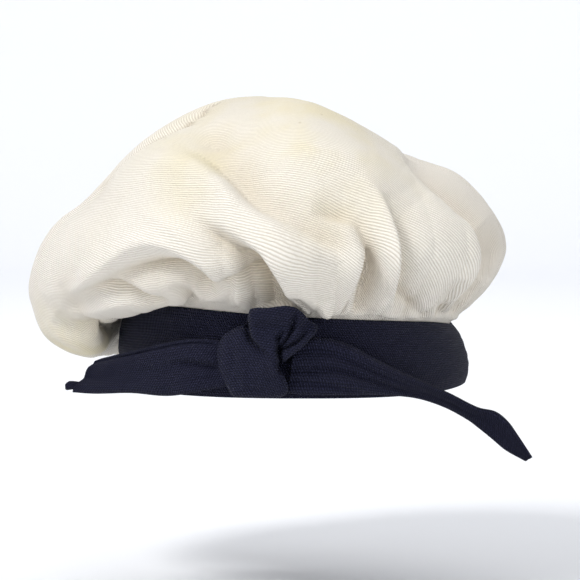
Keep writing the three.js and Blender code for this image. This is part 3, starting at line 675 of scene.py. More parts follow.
@dataclass
class CrownPanel:
    """One of the crown's two panels: an outer and an inner face of cloth, closed at every edge.

    Attributes:
        name: The CAD node that it replaces.
        left: The seam that it starts from.
        right: The seam that it ends at.
        columns: How many cells it has round the cap.
        shift: How far it is set back or forward to leave the seam's gap, in millimetres.
        level_at: The bearing at which its ribs lie level, low down.
        drift: How far that moves towards the back's middle at the pole, as a share.
        pole_fan: The turn of its ribs for each degree round the cap, at the pole.
        flat: The widest and longest of the cut, in metres. Not used.
        area: The cut's area, in square metres. Not used.
        rows: How many cells it has from the sash to the pole.
        crest: The climb above which its rows lie wider apart.
        crowded: How much its columns crowd together at its seams, from 0 to 1.
        coarser: How many cells of its outer face lie over one of its lining.
        wall: The cloth's thickness, in millimetres.
        seam_pull: How far its seams draw the cloth in.
        seam_width: How far from a seam that reaches.
        seam_line: Half the width of the darker line at a seam.
        fold_shade_and_dirt: How deep each place lies in a fold, kept for the finish, which paints shade and
            some dirt there.
        near_seam: How near each place is to a seam, kept for the finish.
        seam_lines: The points that its seams' stitches follow.
    """

    name: str
    left: Callable[[Array], Array]
    right: Callable[[Array], Array]
    columns: int
    shift: float
    level_at: float
    flat: tuple[float, float]
    area: float
    drift: float = 0.0
    pole_fan: float = 0.6
    rows: int = 174
    crest: float = 0.74
    crowded: float = 0.0
    coarser: int = 3
    wall: float = SIZES.crown_wall
    seam_pull: float = 2.2
    seam_width: float = 3.0
    seam_line: float = 1.3
    fold_shade_and_dirt: Array = field(init=False, repr=False)
    near_seam: Array = field(init=False, repr=False)
    seam_lines: list[Array] = field(init=False, repr=False)

    def build(self, form: CrownForm, relief: CrownRelief) -> bpy.types.Object:
        """Makes the panel's mesh.

        Args:
            form: The smooth form.
            relief: The folds on it.

        Returns:
            The panel's object.
        """
        step = self.coarser
        low = np.linspace(0, self.crest, self.rows * 5 // 6 + 1)
        high = np.linspace(self.crest, 1, self.rows // 6 + 1)[1:]
        climbs = np.concatenate([np.linspace(-1, 0, 4 * step, endpoint=False), low, high])
        even = np.linspace(0, 1, self.columns + 1)
        shares = even - self.crowded * np.sin(math.tau * even) / math.tau
        climb, share = np.meshgrid(climbs, shares, indexing="ij")
        seam_at = np.maximum(climb, 0)
        start, end = self.left(seam_at), self.right(seam_at)
        bearing = start + (end - start) * share
        flat = flat_place(form, bearing, climb, self.level_at, self.drift, self.pole_fan)
        points, normals, height = self._surface(form, relief, bearing, climb, flat, share)
        inner = self._lining(points, normals, height)
        sewn = (climbs > 0.04) & (climbs < 0.97)
        self.seam_lines = [(points - normals * 0.1)[sewn, side] for side in (0, -1)]
        mesh = ClothMesh()
        outer_index = mesh.add_points(points)
        inner_index = mesh.add_points(inner)
        for index in (outer_index, inner_index):
            index[-1] = index[-1, 0]
        uv = flat / UV_UNIT
        thin_uv = uv[::step, ::step]
        mesh.add_grid(outer_index, uv)
        mesh.add_grid(inner_index, thin_uv, turned=True)
        mesh.add_rim(inner_index[:, 0], outer_index[:, 0], thin_uv[:, 0], uv[:, 0], step)
        mesh.add_rim(outer_index[:, -1], inner_index[:, -1], uv[:, -1], thin_uv[:, -1], step)
        mesh.add_rim(inner_index[0], outer_index[0], thin_uv[0], uv[0], step, turned=True)
        masks = {
            name: np.concatenate([mask.ravel(), mask[::step, ::step].ravel()])
            for name, mask in zip(MASKS, (self.fold_shade_and_dirt, self.near_seam))
        }
        return mesh.build(f"{self.name}_cloth", masks)

    def _lining(self, points: Array, normals: Array, height: Array) -> Array:
        """The inner face, on a coarser grid that stays under the outer one's folds."""
        step = self.coarser
        lowest = height.copy()
        for shift in range(1, step + 1):
            for axis in (0, 1):
                for way in (shift, -shift):
                    lowest = np.minimum(lowest, np.roll(height, way, axis=axis))
        margin = (height - lowest)[..., None]
        inner = points - normals * (self.wall + np.clip(margin, 0, 2.5))
        inner[-1] = points[-1] - np.array([0, 0, self.wall])
        inner[0] = points[0] - normals[0] * self.wall
        return inner[::step, ::step]

    def _surface(self, form: CrownForm, relief: CrownRelief, bearing: Array, climb: Array, flat: Array,
                 share: Array) -> tuple[Array, Array, Array]:
        """Works out the outer face, and keeps its masks.

        Args:
            form: The smooth form.
            relief: The folds on it.
            bearing: Degrees from the back round towards the right.
            climb: From 0 at the sash to 1 at the pole.
            flat: Places on the flat cloth, in millimetres.
            share: From 0 at its first seam to 1 at its second.

        Returns:
            Its points, the smooth form's normals, and the height over that form.
        """
        shape = bearing.shape
        b, c = bearing.ravel(), climb.ravel()
        base = form.read(form.places, b, c)
        normals = unit(form.read(form.normals, b, c))
        lift = relief.gathers(b, c) + relief.wrinkles(flat.reshape(-1, 2), c)
        drawn = relief.folds(base, normals, c)
        to_seam = self._to_seam(form, base, c, share.ravel())
        climbed = form.climbed(b, c)
        pucker = 1 + 0.35 * np.sin(climbed / 1.7) + 0.3 * np.sin(climbed / 3.1 + 1)
        pull = self.seam_pull * pucker * np.exp(-to_seam / self.seam_width) * smooth(c, 0, 0.05)
        height = (drawn * normals).sum(1) + lift - pull
        points = base + drawn + normals * (lift - pull)[:, None]
        points[:, 1] += self.shift
        # Painted shade with some dirt: the finish darkens the cloth deep in the folds by this mask.
        self.fold_shade_and_dirt = (smooth(-height, -2, 7) + smooth(-height, 6, 15)).reshape(shape)
        self.near_seam = np.exp(-((to_seam / self.seam_line) ** 2)).reshape(shape)
        return points.reshape(*shape, 3), normals.reshape(*shape, 3), height.reshape(shape)

    def _to_seam(self, form: CrownForm, base: Array, climb: Array, share: Array) -> Array:
        """How far each place is from the nearer seam, in millimetres."""
        c = np.maximum(climb, 0)
        width = np.radians(self.right(c) - self.left(c))
        reach = np.maximum(np.hypot(base[:, 0] - form.pole()[0], base[:, 1] - form.pole()[1]), 4)
        sides = []
        for seam, part in ((self.left, share), (self.right, 1 - share)):
            slant = np.radians(seam(c + 0.005) - seam(c - 0.005)) / 0.01 * reach / float(form.length.mean())
            sides.append(part * width * reach / np.hypot(1, slant))
        return np.minimum(*sides)


def flat_place(form: CrownForm, bearing: Array, climb: Array, level_at: float, drift: float,
               pole_fan: float) -> Array:
    """Where places lie on the flat cloth: a fan round the pole, closed up a little.

    Args:
        form: The smooth form.
        bearing: Degrees from the back round towards the right.
        climb: From 0 at the sash to 1 at the pole.
        level_at: The bearing at which the ribs lie level, low down.
        drift: How far that moves towards the back's middle at the pole, as a share.
        pole_fan: The turn of the ribs for each degree round the cap, at the pole.

    Returns:
        Places across and along the cloth, in millimetres.
    """
    away = form.from_pole(bearing, climb)
    high = smooth(climb, 0.5, 1)
    fan = RIB_FAN + (pole_fan - RIB_FAN) * high
    turn = np.radians((bearing - level_at * (1 - drift * high)) * fan)
    return np.stack([away * np.sin(turn), away * np.cos(turn)], axis=-1)


class ClothMesh:
    """Collects grids of points into one mesh with a cloth UV map."""

    def __init__(self) -> None:
        """Starts with nothing."""
        self.points: list[Array] = []
        self.count = 0
        self.faces: list[Array] = []
        self.uvs: list[Array] = []
        self.rims: list[tuple[list[int], list[Array]]] = []

    def add_points(self, grid: Array) -> Array:
        """Adds a grid of points and returns their numbers in the same layout."""
        flat = grid.reshape(-1, 3)
        index = np.arange(self.count, self.count + len(flat)).reshape(grid.shape[:-1])
        self.points.append(flat)
        self.count += len(flat)
        return index

    def add_grid(self, index: Array, uv: Array, turned: bool = False) -> None:
        """Adds the faces between neighbouring rows and columns.

        Args:
            index: The points' numbers in rows and columns.
            uv: A place on the cloth for each.
            turned: Whether the faces look the other way.
        """
        corners = [(slice(None, -1), slice(None, -1)), (slice(None, -1), slice(1, None)),
                   (slice(1, None), slice(1, None)), (slice(1, None), slice(None, -1))]
        if turned:
            corners = [corners[0], corners[3], corners[2], corners[1]]
        self.faces.append(np.stack([index[c].ravel() for c in corners], axis=1))
        self.uvs.append(np.stack([uv[c].reshape(-1, 2) for c in corners], axis=1))

    def add_rim(self, a: Array, b: Array, uv_a: Array, uv_b: Array, step: int, turned: bool = False) -> None:
        """Joins a fine edge to a coarse one with step cells of the fine one to each of its own.

        Args:
            a: The points' numbers along the edge that comes first.
            b: The points' numbers along the other.
            uv_a: A place on the cloth for each of a.
            uv_b: A place on the cloth for each of b.
            step: How many cells of the fine edge meet one of the coarse edge.
            turned: Whether the faces look the other way.
        """
        step_a, step_b = (1, step) if len(a) < len(b) else (step, 1)
        for i in range(min(len(a), len(b)) - 1):
            part_a = slice(i * step_a, (i + 1) * step_a + 1)
            part_b = slice(i * step_b, (i + 1) * step_b + 1)
            ring = [*a[part_a][::-1], *b[part_b]]
            places = [*uv_a[part_a][::-1], *uv_b[part_b]]
            if turned:
                ring, places = ring[::-1], places[::-1]
            kept = [j for j in range(len(ring)) if ring[j] != ring[j - 1]]
            if len(kept) > 2:
                self.rims.append(([int(ring[j]) for j in kept], [places[j] for j in kept]))

    def build(self, name: str, masks: dict[str, Array] | None = None) -> bpy.types.Object:
        """Makes the object.

        Args:
            name: Its name.
            masks: Values for each point, by the name of the attribute that keeps them.

        Returns:
            The object, smooth shaded.
        """
        faces, uvs = np.concatenate(self.faces), np.concatenate(self.uvs)
        same = faces == np.roll(faces, -1, axis=1)
        whole = ~same.any(axis=1)
        polygons = faces[whole].tolist()
        loops = [uvs[whole].reshape(-1, 2)]
        for face, uv, twice in zip(faces[~whole], uvs[~whole], same[~whole]):
            kept = ~twice
            if kept.sum() > 2:
                polygons.append(face[kept].tolist())
                loops.append(uv[kept])
        for face, places in self.rims:
            polygons.append(face)
            loops.append(np.array(places))
        mesh = bpy.data.meshes.new(name)
        mesh.from_pydata((np.concatenate(self.points) * MM).tolist(), [], polygons)
        layer = mesh.uv_layers.new(name=CLOTH_UV)
        layer.data.foreach_set("uv", np.concatenate(loops).astype(np.float32).ravel())
        for mask, values in (masks or {}).items():
            kept = mesh.attributes.new(mask, "FLOAT", "POINT")
            kept.data.foreach_set("value", values.astype(np.float32))
        mesh.polygons.foreach_set("use_smooth", [True] * len(mesh.polygons))
        mesh.update()
        return put(name, mesh)


def put(name: str, data: bpy.types.ID) -> bpy.types.Object:
    """Makes an object of some data and puts it in the scene."""
    obj = bpy.data.objects.new(name, data)
    bpy.context.scene.collection.objects.link(obj)
    return obj


def dress(obj: bpy.types.Object, material: bpy.types.Material, slot: str, *nodes: str) -> bpy.types.Object:
    """Gives a piece its finish and its place in the frame.

    Args:
        obj: The piece.
        material: Its finish.
        slot: The record's material slot. Not used.
        nodes: The CAD nodes that it stands for.

    Returns:
        The same piece.
    """
    obj.data.materials.clear()
    obj.data.materials.append(material)
    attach(obj, ROOT)
    if nodes:
        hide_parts(*nodes)
    LOG.info("%s: %d faces", obj.name, len(obj.data.polygons))
    return obj


def stitch_nodes(material: bpy.types.Material) -> bpy.types.NodeTree:
    """Short threads along a line, each a little different from the next."""
    tree = bpy.data.node_groups.new("stitches", "GeometryNodeTree")
    for label, kind in (("Line", GEOMETRY), ("Spacing", FLOAT), ("Size", VECTOR)):
        tree.interface.new_socket(name=label, in_out="INPUT", socket_type=kind)
    tree.interface.new_socket(name="Stitches", in_out="OUTPUT", socket_type=GEOMETRY)
    n = Nodes(tree)
    given, out = n.add("NodeGroupInput"), n.add("NodeGroupOutput")
    line = n.add("GeometryNodeMeshToCurve", {"Mesh": given.outputs["Line"]})
    spaced = n.add(
        "GeometryNodeResampleCurve",
        {"Curve": line.outputs[0], "Length": given.outputs["Spacing"]},
        mode="LENGTH",
    )
    thread = n.add("GeometryNodeMeshUVSphere", {"Segments": 8, "Rings": 6, "Radius": 0.5})
    shortest, longest, seed = 0.85, 1.15, 5
    uneven = n.add("FunctionNodeRandomValue", {2: shortest, 3: longest, "Seed": seed}, data_type="FLOAT")
    size = n.scale(given.outputs["Size"], uneven.outputs[1])
    along = n.add("GeometryNodeInputTangent").outputs[0]
    turn = n.add("FunctionNodeAlignRotationToVector", {"Vector": along}, axis="X").outputs[0]
    placed = n.add(
        "GeometryNodeInstanceOnPoints",
        {"Points": spaced.outputs[0], "Instance": thread.outputs["Mesh"], "Rotation": turn, "Scale": size},
    )
    real = n.add("GeometryNodeRealizeInstances", {0: placed.outputs[0]})
    dyed = n.add("GeometryNodeSetMaterial", {"Geometry": real.outputs[0], "Material": material})
    n.tree.links.new(dyed.outputs[0], out.inputs[0])
    return tree


@dataclass
class Stitches:
    """Rows of sewn stitches.

    Attributes:
        name: The piece's name.
        spacing: From one stitch to the next, in millimetres.
        length: Each stitch's length.
        thick: The thread's thickness.
    """

    name: str
    spacing: float = 2.8
    length: float = 1.9
    thick: float = 0.45

    def build(self, lines: Sequence[Array], material: bpy.types.Material) -> bpy.types.Object:
        """Sews along the lines.

        Args:
            lines: Points in rows, in millimetres, one array for each line.
            material: The thread's finish.

        Returns:
            A plain mesh of all the stitches.
        """
        rows = [len(line) for line in lines]
        starts = np.cumsum([0, *rows[:-1]])
        edges = [(int(a) + i, int(a) + i + 1) for a, count in zip(starts, rows) for i in range(count - 1)]
        path = bpy.data.meshes.new(f"{self.name}_line")
        path.from_pydata((np.concatenate(lines) * MM).tolist(), edges, [])
        source = put(path.name, path)
        modifier = source.modifiers.new("stitches", "NODES")
        modifier.node_group = tree = stitch_nodes(material)
        size = (self.length * MM, self.thick * MM, self.thick * MM)
        wanted = {"Spacing": self.spacing * MM, "Size": size}
        for socket in tree.interface.items_tree:
            if socket.name in wanted:
                modifier[socket.identifier] = wanted[socket.name]
        mesh = bpy.data.meshes.new_from_object(source.evaluated_get(bpy.context.evaluated_depsgraph_get()))
        mesh.name = self.name
        bpy.data.objects.remove(source)
        mesh.polygons.foreach_set("use_smooth", [True] * len(mesh.polygons))
        return put(self.name, mesh)


@dataclass
class Crown:
    """The gathered twill crown: a back panel and a front panel sewn together over the top."""

    form: CrownForm = field(default_factory=CrownForm)

    def panels(self) -> list[CrownPanel]:
        """The two panels, the back one first."""
        left, right = partial(SEAMS.at, "left"), partial(SEAMS.at, "right")
        return [
            CrownPanel("crown_back_panel", left, right, 432, -0.2, -85, (0.49, 0.21), 0.062,
                       drift=0.8, pole_fan=1.0),
            CrownPanel("crown_front_panel", right, lambda c: left(c) + 360, 360, 0.2, 180, (0.35, 0.25),
                       0.061, rows=150, crowded=0.45),
        ]

    def build(self, material: bpy.types.Material) -> None:
        """Makes both panels with the stitches of their seams, and dresses them."""
        relief = CrownRelief(self.form)
        for panel in self.panels():
            obj = dress(panel.build(self.form, relief), material, "crown_twill", panel.name)
            if panel.name == "crown_back_panel":
                seam = Stitches("crown_seam_stitches", spacing=2.4, length=1.5, thick=0.4)
                dress(seam.build(panel.seam_lines, material), material, "crown_twill")


@dataclass
class SashBand:
    """The sash round the head: a doubled strip of navy cloth.

    Attributes:
        name: The CAD node that it replaces.
        flat: Its width and length as cut, in metres. Not used.
        columns: How many cells it has round the head.
        rows: How many cells it has from edge to edge.
        wall: Its thickness, in millimetres.
        noise: The bumps that its creases are made of.
    """

    name: str = "sash_band"
    flat: tuple[float, float] = (0.042, 0.553)
    columns: int = 420
    rows: int = 36
    wall: float = SIZES.band_wall
    noise: Noise = field(default_factory=lambda: Noise(23))

    def build(self, material: bpy.types.Material) -> None:
        """Makes the band and dresses it."""
        bearings = np.linspace(0, 360, self.columns + 1)
        edge = np.linspace(0, 1, self.rows + 1)
        level = np.zeros_like(edge)
        turn = np.linspace(0, math.pi, 7)[1:-1]
        inward = self.wall * (1 - np.cos(turn)) / 2
        share = np.concatenate([edge, np.ones_like(turn), edge[::-1], np.zeros_like(turn)])
        depth = np.concatenate([level, inward, level + self.wall, inward[::-1]])
        swell = np.concatenate([level, np.sin(turn), level, -np.sin(turn)])
        grid_b, grid_s = np.meshgrid(bearings, share, indexing="xy")
        grid_d = np.broadcast_to(depth[:, None], grid_b.shape)
        points = band_point(grid_b, grid_s, grid_d)
        lengths = self._round(bearings)
        along = np.broadcast_to(lengths, grid_b.shape)
        points[..., 2] += swell[:, None] * self.wall * 0.4
        relief = self._creases(along, grid_s * SIZES.band_height, lengths[-1])
        points += direction(grid_b) * relief[..., None]
        mesh = ClothMesh()
        index = mesh.add_points(points[:, :-1])
        index = np.concatenate([index, index[:, :1]], axis=1)
        index = np.concatenate([index, index[:1]], axis=0)
        steps = np.hypot(np.diff(share) * SIZES.band_height, np.diff(depth))
        across = np.concatenate([[0], np.cumsum(steps)])
        uv = np.stack([along, np.broadcast_to(across[:, None], along.shape)], axis=-1) / UV_UNIT
        uv = np.concatenate([uv, uv[-1:]], axis=0)
        mesh.add_grid(index, uv)
        obj = mesh.build(f"{self.name}_cloth")
        dress(obj, material, "sash_cloth", self.name)

    @staticmethod
    def _round(bearings: Array) -> Array:
        """The length along the band at each bearing, in millimetres."""
        line = band_point(bearings, 0.5, 0.0)
        return np.concatenate([[0], np.cumsum(np.linalg.norm(np.diff(line, axis=0), axis=1))])

    def _creases(self, along: Array, up: Array, around: float) -> Array:
        """Lengthwise creases in the sash, out from its smooth form."""
        turn = along / around * math.tau
        u, v = np.cos(turn) * 3, np.sin(turn) * 3
        height = self.noise.at(u + up / 14, v - up / 18) * 0.5
        height += self.noise.ridges(u * 0.7 + up / 9, v * 0.7 + 5) * 0.4
        inside = smooth(up, 0, 4) * (1 - smooth(up, SIZES.band_height - 3, SIZES.band_height))
        return height * inside * 0.8 - 0.3


# The knot and the tails

TAIL_FOLD = 5.0  # how far a tail's turned edges lie behind its face
TAIL_ROOT_FOLD = 0.6  # the same where it goes in under the knot, as a share
KNOT_LEAN = 0.75  # how far the knot leans out over the sash's edge, for each millimetre up

# How the knot's edge turns under: shares of its reach and of its edge's height
KNOT_EDGE = ((0.996, 0.85), (0.985, 0.6), (0.97, 0.3), (0.93, 0.08))

KNOT_OUTLINE = Table(
    "angle reach",
    [
        (-133, 25.3), (-126, 26.2), (-105, 22.7), (-84, 21.9), (-66, 22.8), (-60, 21.9), (-54, 18.2),
        (-49, 11.4), (-40, 9.2), (-4, 14.0), (16, 22.6), (20, 25.9), (26, 27.8), (36, 26.0), (52, 26.2),
        (60, 25.6), (84, 21.6), (108, 21.6), (113, 19.6), (123, 16.0), (143, 18.1), (162, 21.1),
        (180, 22.5), (198, 23.1), (214, 23.8),
    ],
    period=360,
)

KNOT_FOLDS = (
    # The loop's left edge over the wound part, with the crevice beside it
    Fold(((-7.4, 21, 1.5), (-7.3, 16.5, 3), (-6.8, 11.5, 3.2), (-5.5, 7.4, 3), (-2.4, 3.9, 2.2),
          (1.5, 0.5, 1.2), (5, -3, 0)), 7, 0.9),
    Fold(((-8.4, 21, -2), (-8.3, 16.5, -4), (-7.8, 11.2, -4.5), (-6.5, 6.6, -4), (-3.4, 2.9, -3),
          (-0.3, 0.2, -1), (2, -2, 0)), 0.9, 1.5),
    # Three creases that run together under the loop
    Fold(((14.9, 20, -1), (13.6, 14.4, -2.8), (11.6, 8.1, -3.6), (9.6, 5.4, -3.4), (6.6, 1.6, -3)), 1.2, 1.0),
    Fold(((10.4, 12.6, 0), (8.45, 8.9, -2.4), (6.5, 6.4, -2.8)), 1.1, 1.1),
    Fold(((22.5, 12.5, 0), (19.6, 9.2, -2.2), (15.6, 5.3, -3.2), (11.2, 2.6, -3.6), (6.7, 0.2, -3.2)),
         1.0, 1.1),
    Fold(((14, 22, 0.6), (16.6, 14, 1.6), (13.4, 8, 1.6), (9, 4.2, 0.4)), 2.2, 1.8),
    Fold(((11.9, 18, 0.5), (10.4, 11, 1.4), (8, 6.2, 0.6)), 1.6, 1.6),
    # The lower roll, from the right corner in under the wound part
    Fold(((24.5, 12.6, 1.0), (21.4, 7.6, 2.2), (16.0, 2.6, 2.8), (11.2, -1.4, 2.4), (7.2, -4, 1.2)),
         2.6, 2.6),
    # The wound part's right edge, and the dark gap behind it
    Fold(((5.0, 9, 0), (5.0, 3, 2), (5.2, -3, 2.8), (5.0, -7.6, 2.4), (7.4, -11, 1)), 0.8, 6),
    Fold(((6.4, 7, -1), (6.6, 1, -4), (7.2, -5, -5), (6.9, -8.5, -3)), 1.2, 0.8),
    # Soft creases down the wound part
    Fold(((-13, 6, 0), (-15, -2, -0.8), (-14, -12, -0.6), (-12, -18, 0)), 2.4, 3.2),
    Fold(((-6, -1, 0), (-7, -9, -0.7), (-5, -16, 0)), 2, 3.4),
    Fold(((-18, 8, 0), (-12, 9.5, 0.9), (-8, 6, 0)), 2.2, 2.6),
    Fold(((-14, -17, 0), (-4, -18.4, -0.9), (6, -17.4, 0)), 1.6, 1.6),
)


@dataclass
class Knot:
    """The knot: cloth wound over the sash, and a turned loop that comes out over its top.

    Attributes:
        columns: How many cells it has round its outline.
        rings: How many cells lie between its middle and its outline.
        rim: How round its edge is. Higher is flatter in the middle.
    """

    name: str = "sash_knot"
    columns: int = 330
    rings: int = 96
    rim: float = 3.4
    noise: Noise = field(default_factory=lambda: Noise(31))

    def build(self, material: bpy.types.Material) -> None:
        """Makes the knot and dresses it."""
        s = SIZES
        underside = TAIL_ROOT_FOLD * TAIL_FOLD + 3 * s.clearance
        widest = underside + s.knot_depth * 0.12
        shares = np.sin(np.linspace(0, math.pi / 2, self.rings + 1)) ** 0.85
        angles = np.arange(self.columns) * 360 / self.columns
        share, angle = np.meshgrid(shares, angles, indexing="ij")
        reach = KNOT_OUTLINE.at("reach", angle)
        front = widest + (s.knot_depth - widest) * np.sqrt(np.clip(1 - share**self.rim, 0, 1))
        x, z = self._flat(share * reach, angle)
        drawn = self._relief(x, z) * smooth(1 - share, 0, 0.07)
        front = np.maximum(front + drawn, widest * smooth(share, 0, 0.4))
        foot = np.minimum(0.85 * reach[0], s.knot_span / 2)
        rows = [*zip(share * reach, front)]
        edge = widest - underside
        rows += [(reach[0] * inward, underside + edge * height) for inward, height in KNOT_EDGE]
        rows += [(foot, underside), (foot, 0.0), (0.0, 0.0)]
        points = np.stack([self._place(radius, angles, height) for radius, height in rows])
        mesh = ClothMesh()
        index = mesh.add_points(points)
        index[0], index[-1] = index[0, 0], index[-1, 0]
        index = np.concatenate([index, index[:, :1]], axis=1)
        uv = self._weave(points)
        uv = np.concatenate([uv, uv[:, :1]], axis=1) / UV_UNIT
        mesh.add_grid(index, uv, turned=True)
        obj = dress(mesh.build(f"{self.name}_cloth"), material, "sash_cloth", self.name)

    @staticmethod
    def middle() -> tuple[float, float]:
        """Its middle across the cap and up."""
        return -SIZES.knot_left, SIZES.band_height * 0.68

    @staticmethod
    def _flat(radius: Array | float, angle: Array) -> tuple[Array, Array]:
        """Places across and up from its middle."""
        turn = np.radians(angle)
        return radius * np.cos(turn), radius * np.sin(turn)

    def _relief(self, x: Array, z: Array) -> Array:
        """Its creases and small unevenness, in millimetres out from its round form."""
        flat_x, flat_z = x.ravel(), z.ravel()
        height = np.zeros(len(flat_x))
        for fold in KNOT_FOLDS:
            height += fold.shape(flat_x, flat_z, 1.0, 1.0)[0]
        height += self.noise.at(flat_x / 7, flat_z / 9) * 0.3
        return height.reshape(x.shape)

    def _place(self, radius: Array | float, angle: Array, height: Array | float) -> Array:
        """The points at a height over the sash's face."""
        middle_x, middle_z = self.middle()
        dx, dz = self._flat(radius, angle)
        x, z = middle_x + dx, middle_z + dz
        sash_top = SIZES.band_height * (1 + BAND_SECTIONS.at("top_up", 0.0))
        lean = KNOT_LEAN * np.maximum(z - sash_top + 2 * SIZES.band_wall, 0)
        return np.stack([x, sash_face(x) - SIZES.clearance - lean - height, z], axis=-1)

    def _weave(self, points: Array) -> Array:
        """Where each place lies on the flat cloth: the loop's threads run aslant, the wound part's level."""
        middle_x, middle_z = self.middle()
        x, z = points[..., 0] - middle_x, points[..., 2] - middle_z
        edge = np.interp(z, [-4, 0.2, 2.9, 6.6, 11.2, 30], [3, -0.3, -3.4, -6.5, -7.8, -8.4])
        loop = (x > edge) & (z > -4)
        bent = z + 0.012 * x**2 + 0.18 * x
        lean = math.radians(52)
        cos, sin = math.cos(lean), math.sin(lean)
        slant = np.stack([x * cos + z * sin, z * cos - x * sin], axis=-1)
        level = np.stack([x, bent], axis=-1)
        return np.where(loop[..., None], slant, level)


# A tail's section from its lower turned edge to its upper one: across in half widths, behind in tail folds
TAIL_SECTION = (
    (-0.5, 0.8), (-0.8, 0.85), (-1, 0.5), (-0.85, 0.08), (-0.45, 0), (-0.1, 0.16), (0.3, 0), (0.85, 0.04),
    (1, 0.45), (0.8, 0.85), (0.55, 0.8),
)

TAIL_COLUMNS = "share top_x top_z low_x low_z back fold"

LEFT_TAIL = Table(
    TAIL_COLUMNS,
    [
        (0, -27.9, 28.1, -27.9, 9.1, 0.947, 0.6),
        (0.1, -38, 30.6, -38, 7.2, 0.91, 0.8),
        (0.22, -50, 30.6, -50, 4.6, 0.86, 0.9),
        (0.4, -64, 27.8, -63, 2.3, 0.77, 1),
        (0.6, -78, 23.7, -80, 2.8, 0.665, 0.9),
        (0.8, -88.5, 20.8, -95.5, 1.9, 0.575, 0.8),
        (0.92, -93.4, 19.2, -104, 1.8, 0.52, 0.7),
        (1, -97.2, 17.6, -109.2, 1.9, 0.495, 0.6),
    ],
)

RIGHT_TAIL = Table(
    TAIL_COLUMNS,
    [
        (0, 0, 31, -3, 5.7, 1.006, 0.6),
        (0.08, 8.5, 32.4, 6.5, 5.1, 0.998, 0.7),
        (0.16, 19, 31.2, 17, 4.8, 0.98, 0.9),
        (0.24, 28.5, 27.8, 25.5, 4.6, 0.95, 1),
        (0.32, 38.5, 22, 35, 4.2, 0.91, 1),
        (0.42, 51.5, 14.8, 47.5, 2.9, 0.845, 0.85),
        (0.52, 64, 8.6, 60, 0.6, 0.77, 0.7),
        (0.62, 76.5, 2.2, 72.5, -4.2, 0.69, 0.6),
        (0.72, 89.6, -5.1, 84, -11, 0.61, 0.6),
        (0.8, 98.6, -7.6, 90.5, -16, 0.57, 0.7),
        (0.87, 104.8, -12.6, 97.5, -21.8, 0.545, 0.7),
        (0.93, 109.8, -19.6, 103.6, -27, 0.53, 0.6),
        (1, 116.8, -30.4, 113.2, -32.6, 0.51, 0.5),
    ],
)

# Folds along the tails: share of the way, across from -1 low to 1 high, and rise. Widths are in millimetres.
LEFT_TAIL_FOLDS = (
    Fold(((0.0, 0.78, -1.2), (0.2, 0.84, -1.6), (0.5, 0.82, -1.6), (0.8, 0.78, -1.4), (1.05, 0.78, -0.6)),
         0.5, 0.7),
    Fold(((0.0, 0.6, 0.2), (0.3, 0.7, 0.5), (0.6, 0.66, 0.8), (1.05, 0.5, 0.8)), 0.8, 4),
    Fold(((-0.05, -0.3, -1.6), (0.06, -0.2, -2), (0.16, 0.0, -1.8), (0.3, 0.18, -1.0), (0.4, 0.16, 0)),
         1.0, 2.6),
    Fold(((-0.05, -0.1, 1.0), (0.06, 0.06, 1.4), (0.2, 0.3, 1.0), (0.4, 0.36, 0)), 2.6, 1.4),
    Fold(((-0.05, -0.62, -0.6), (0.1, -0.56, -1.2), (0.3, -0.5, -0.5), (0.45, -0.5, 0)), 1.4, 1.4),
    Fold(((-0.02, 0.42, -1.0), (0.08, 0.4, -0.7), (0.16, 0.4, 0)), 1.0, 1.0),
    Fold(((0.55, -0.6, 0), (0.8, -0.3, -0.9), (1.02, -0.1, -1.1)), 3, 3),
    Fold(((0.35, -0.6, 0), (0.55, -0.72, 0.9), (0.9, -0.7, 0.7), (1.05, -0.7, 0.3)), 2, 2.4),
)

RIGHT_TAIL_FOLDS = (
    # The smooth upper roll and the crease under it
    Fold(((0.0, 0.7, 0.6), (0.12, 0.72, 1.4), (0.24, 0.62, 2), (0.36, 0.5, 2), (0.5, 0.4, 1.4),
          (0.66, 0.2, 0.6), (0.74, 0.1, 0)), 3, 2.4),
    Fold(((0.02, 0.6, -1), (0.1, 0.58, -2), (0.2, 0.38, -2.4), (0.3, 0.3, -2.2), (0.42, 0.26, -1.2),
          (0.52, 0.2, 0)), 1.0, 0.8),
    # The strip in the middle and the crease under that
    Fold(((-0.05, 0.1, 1), (0.1, 0.1, 1.4), (0.28, 0.06, 1.2), (0.45, -0.06, 0.6), (0.55, -0.2, 0)),
         2.4, 2.6),
    Fold(((-0.06, -0.1, -2), (0.06, -0.14, -2.4), (0.18, -0.12, -2.2), (0.3, -0.2, -1.8), (0.42, -0.34, -1.4),
          (0.56, -0.55, -0.8), (0.64, -0.66, 0)), 0.8, 1.0),
    # The lowest strip
    Fold(((-0.06, -0.5, -2), (0.04, -0.56, -2.2), (0.14, -0.66, -2), (0.26, -0.8, -1.2), (0.34, -0.95, 0)),
         0.8, 0.8),
    Fold(((-0.06, -0.3, 0.8), (0.1, -0.36, 1.2), (0.26, -0.5, 0.9), (0.4, -0.66, 0)), 1.8, 1.6),
    # Where the strip turns over near its tip
    Fold(((0.7, 0.9, 0), (0.78, 0.3, -0.9), (0.84, -0.4, -0.9), (0.88, -0.9, 0)), 3, 3),
    Fold(((0.74, 0.2, 0), (0.86, 0.1, 0.9), (0.97, 0.0, 0)), 3, 3),
)


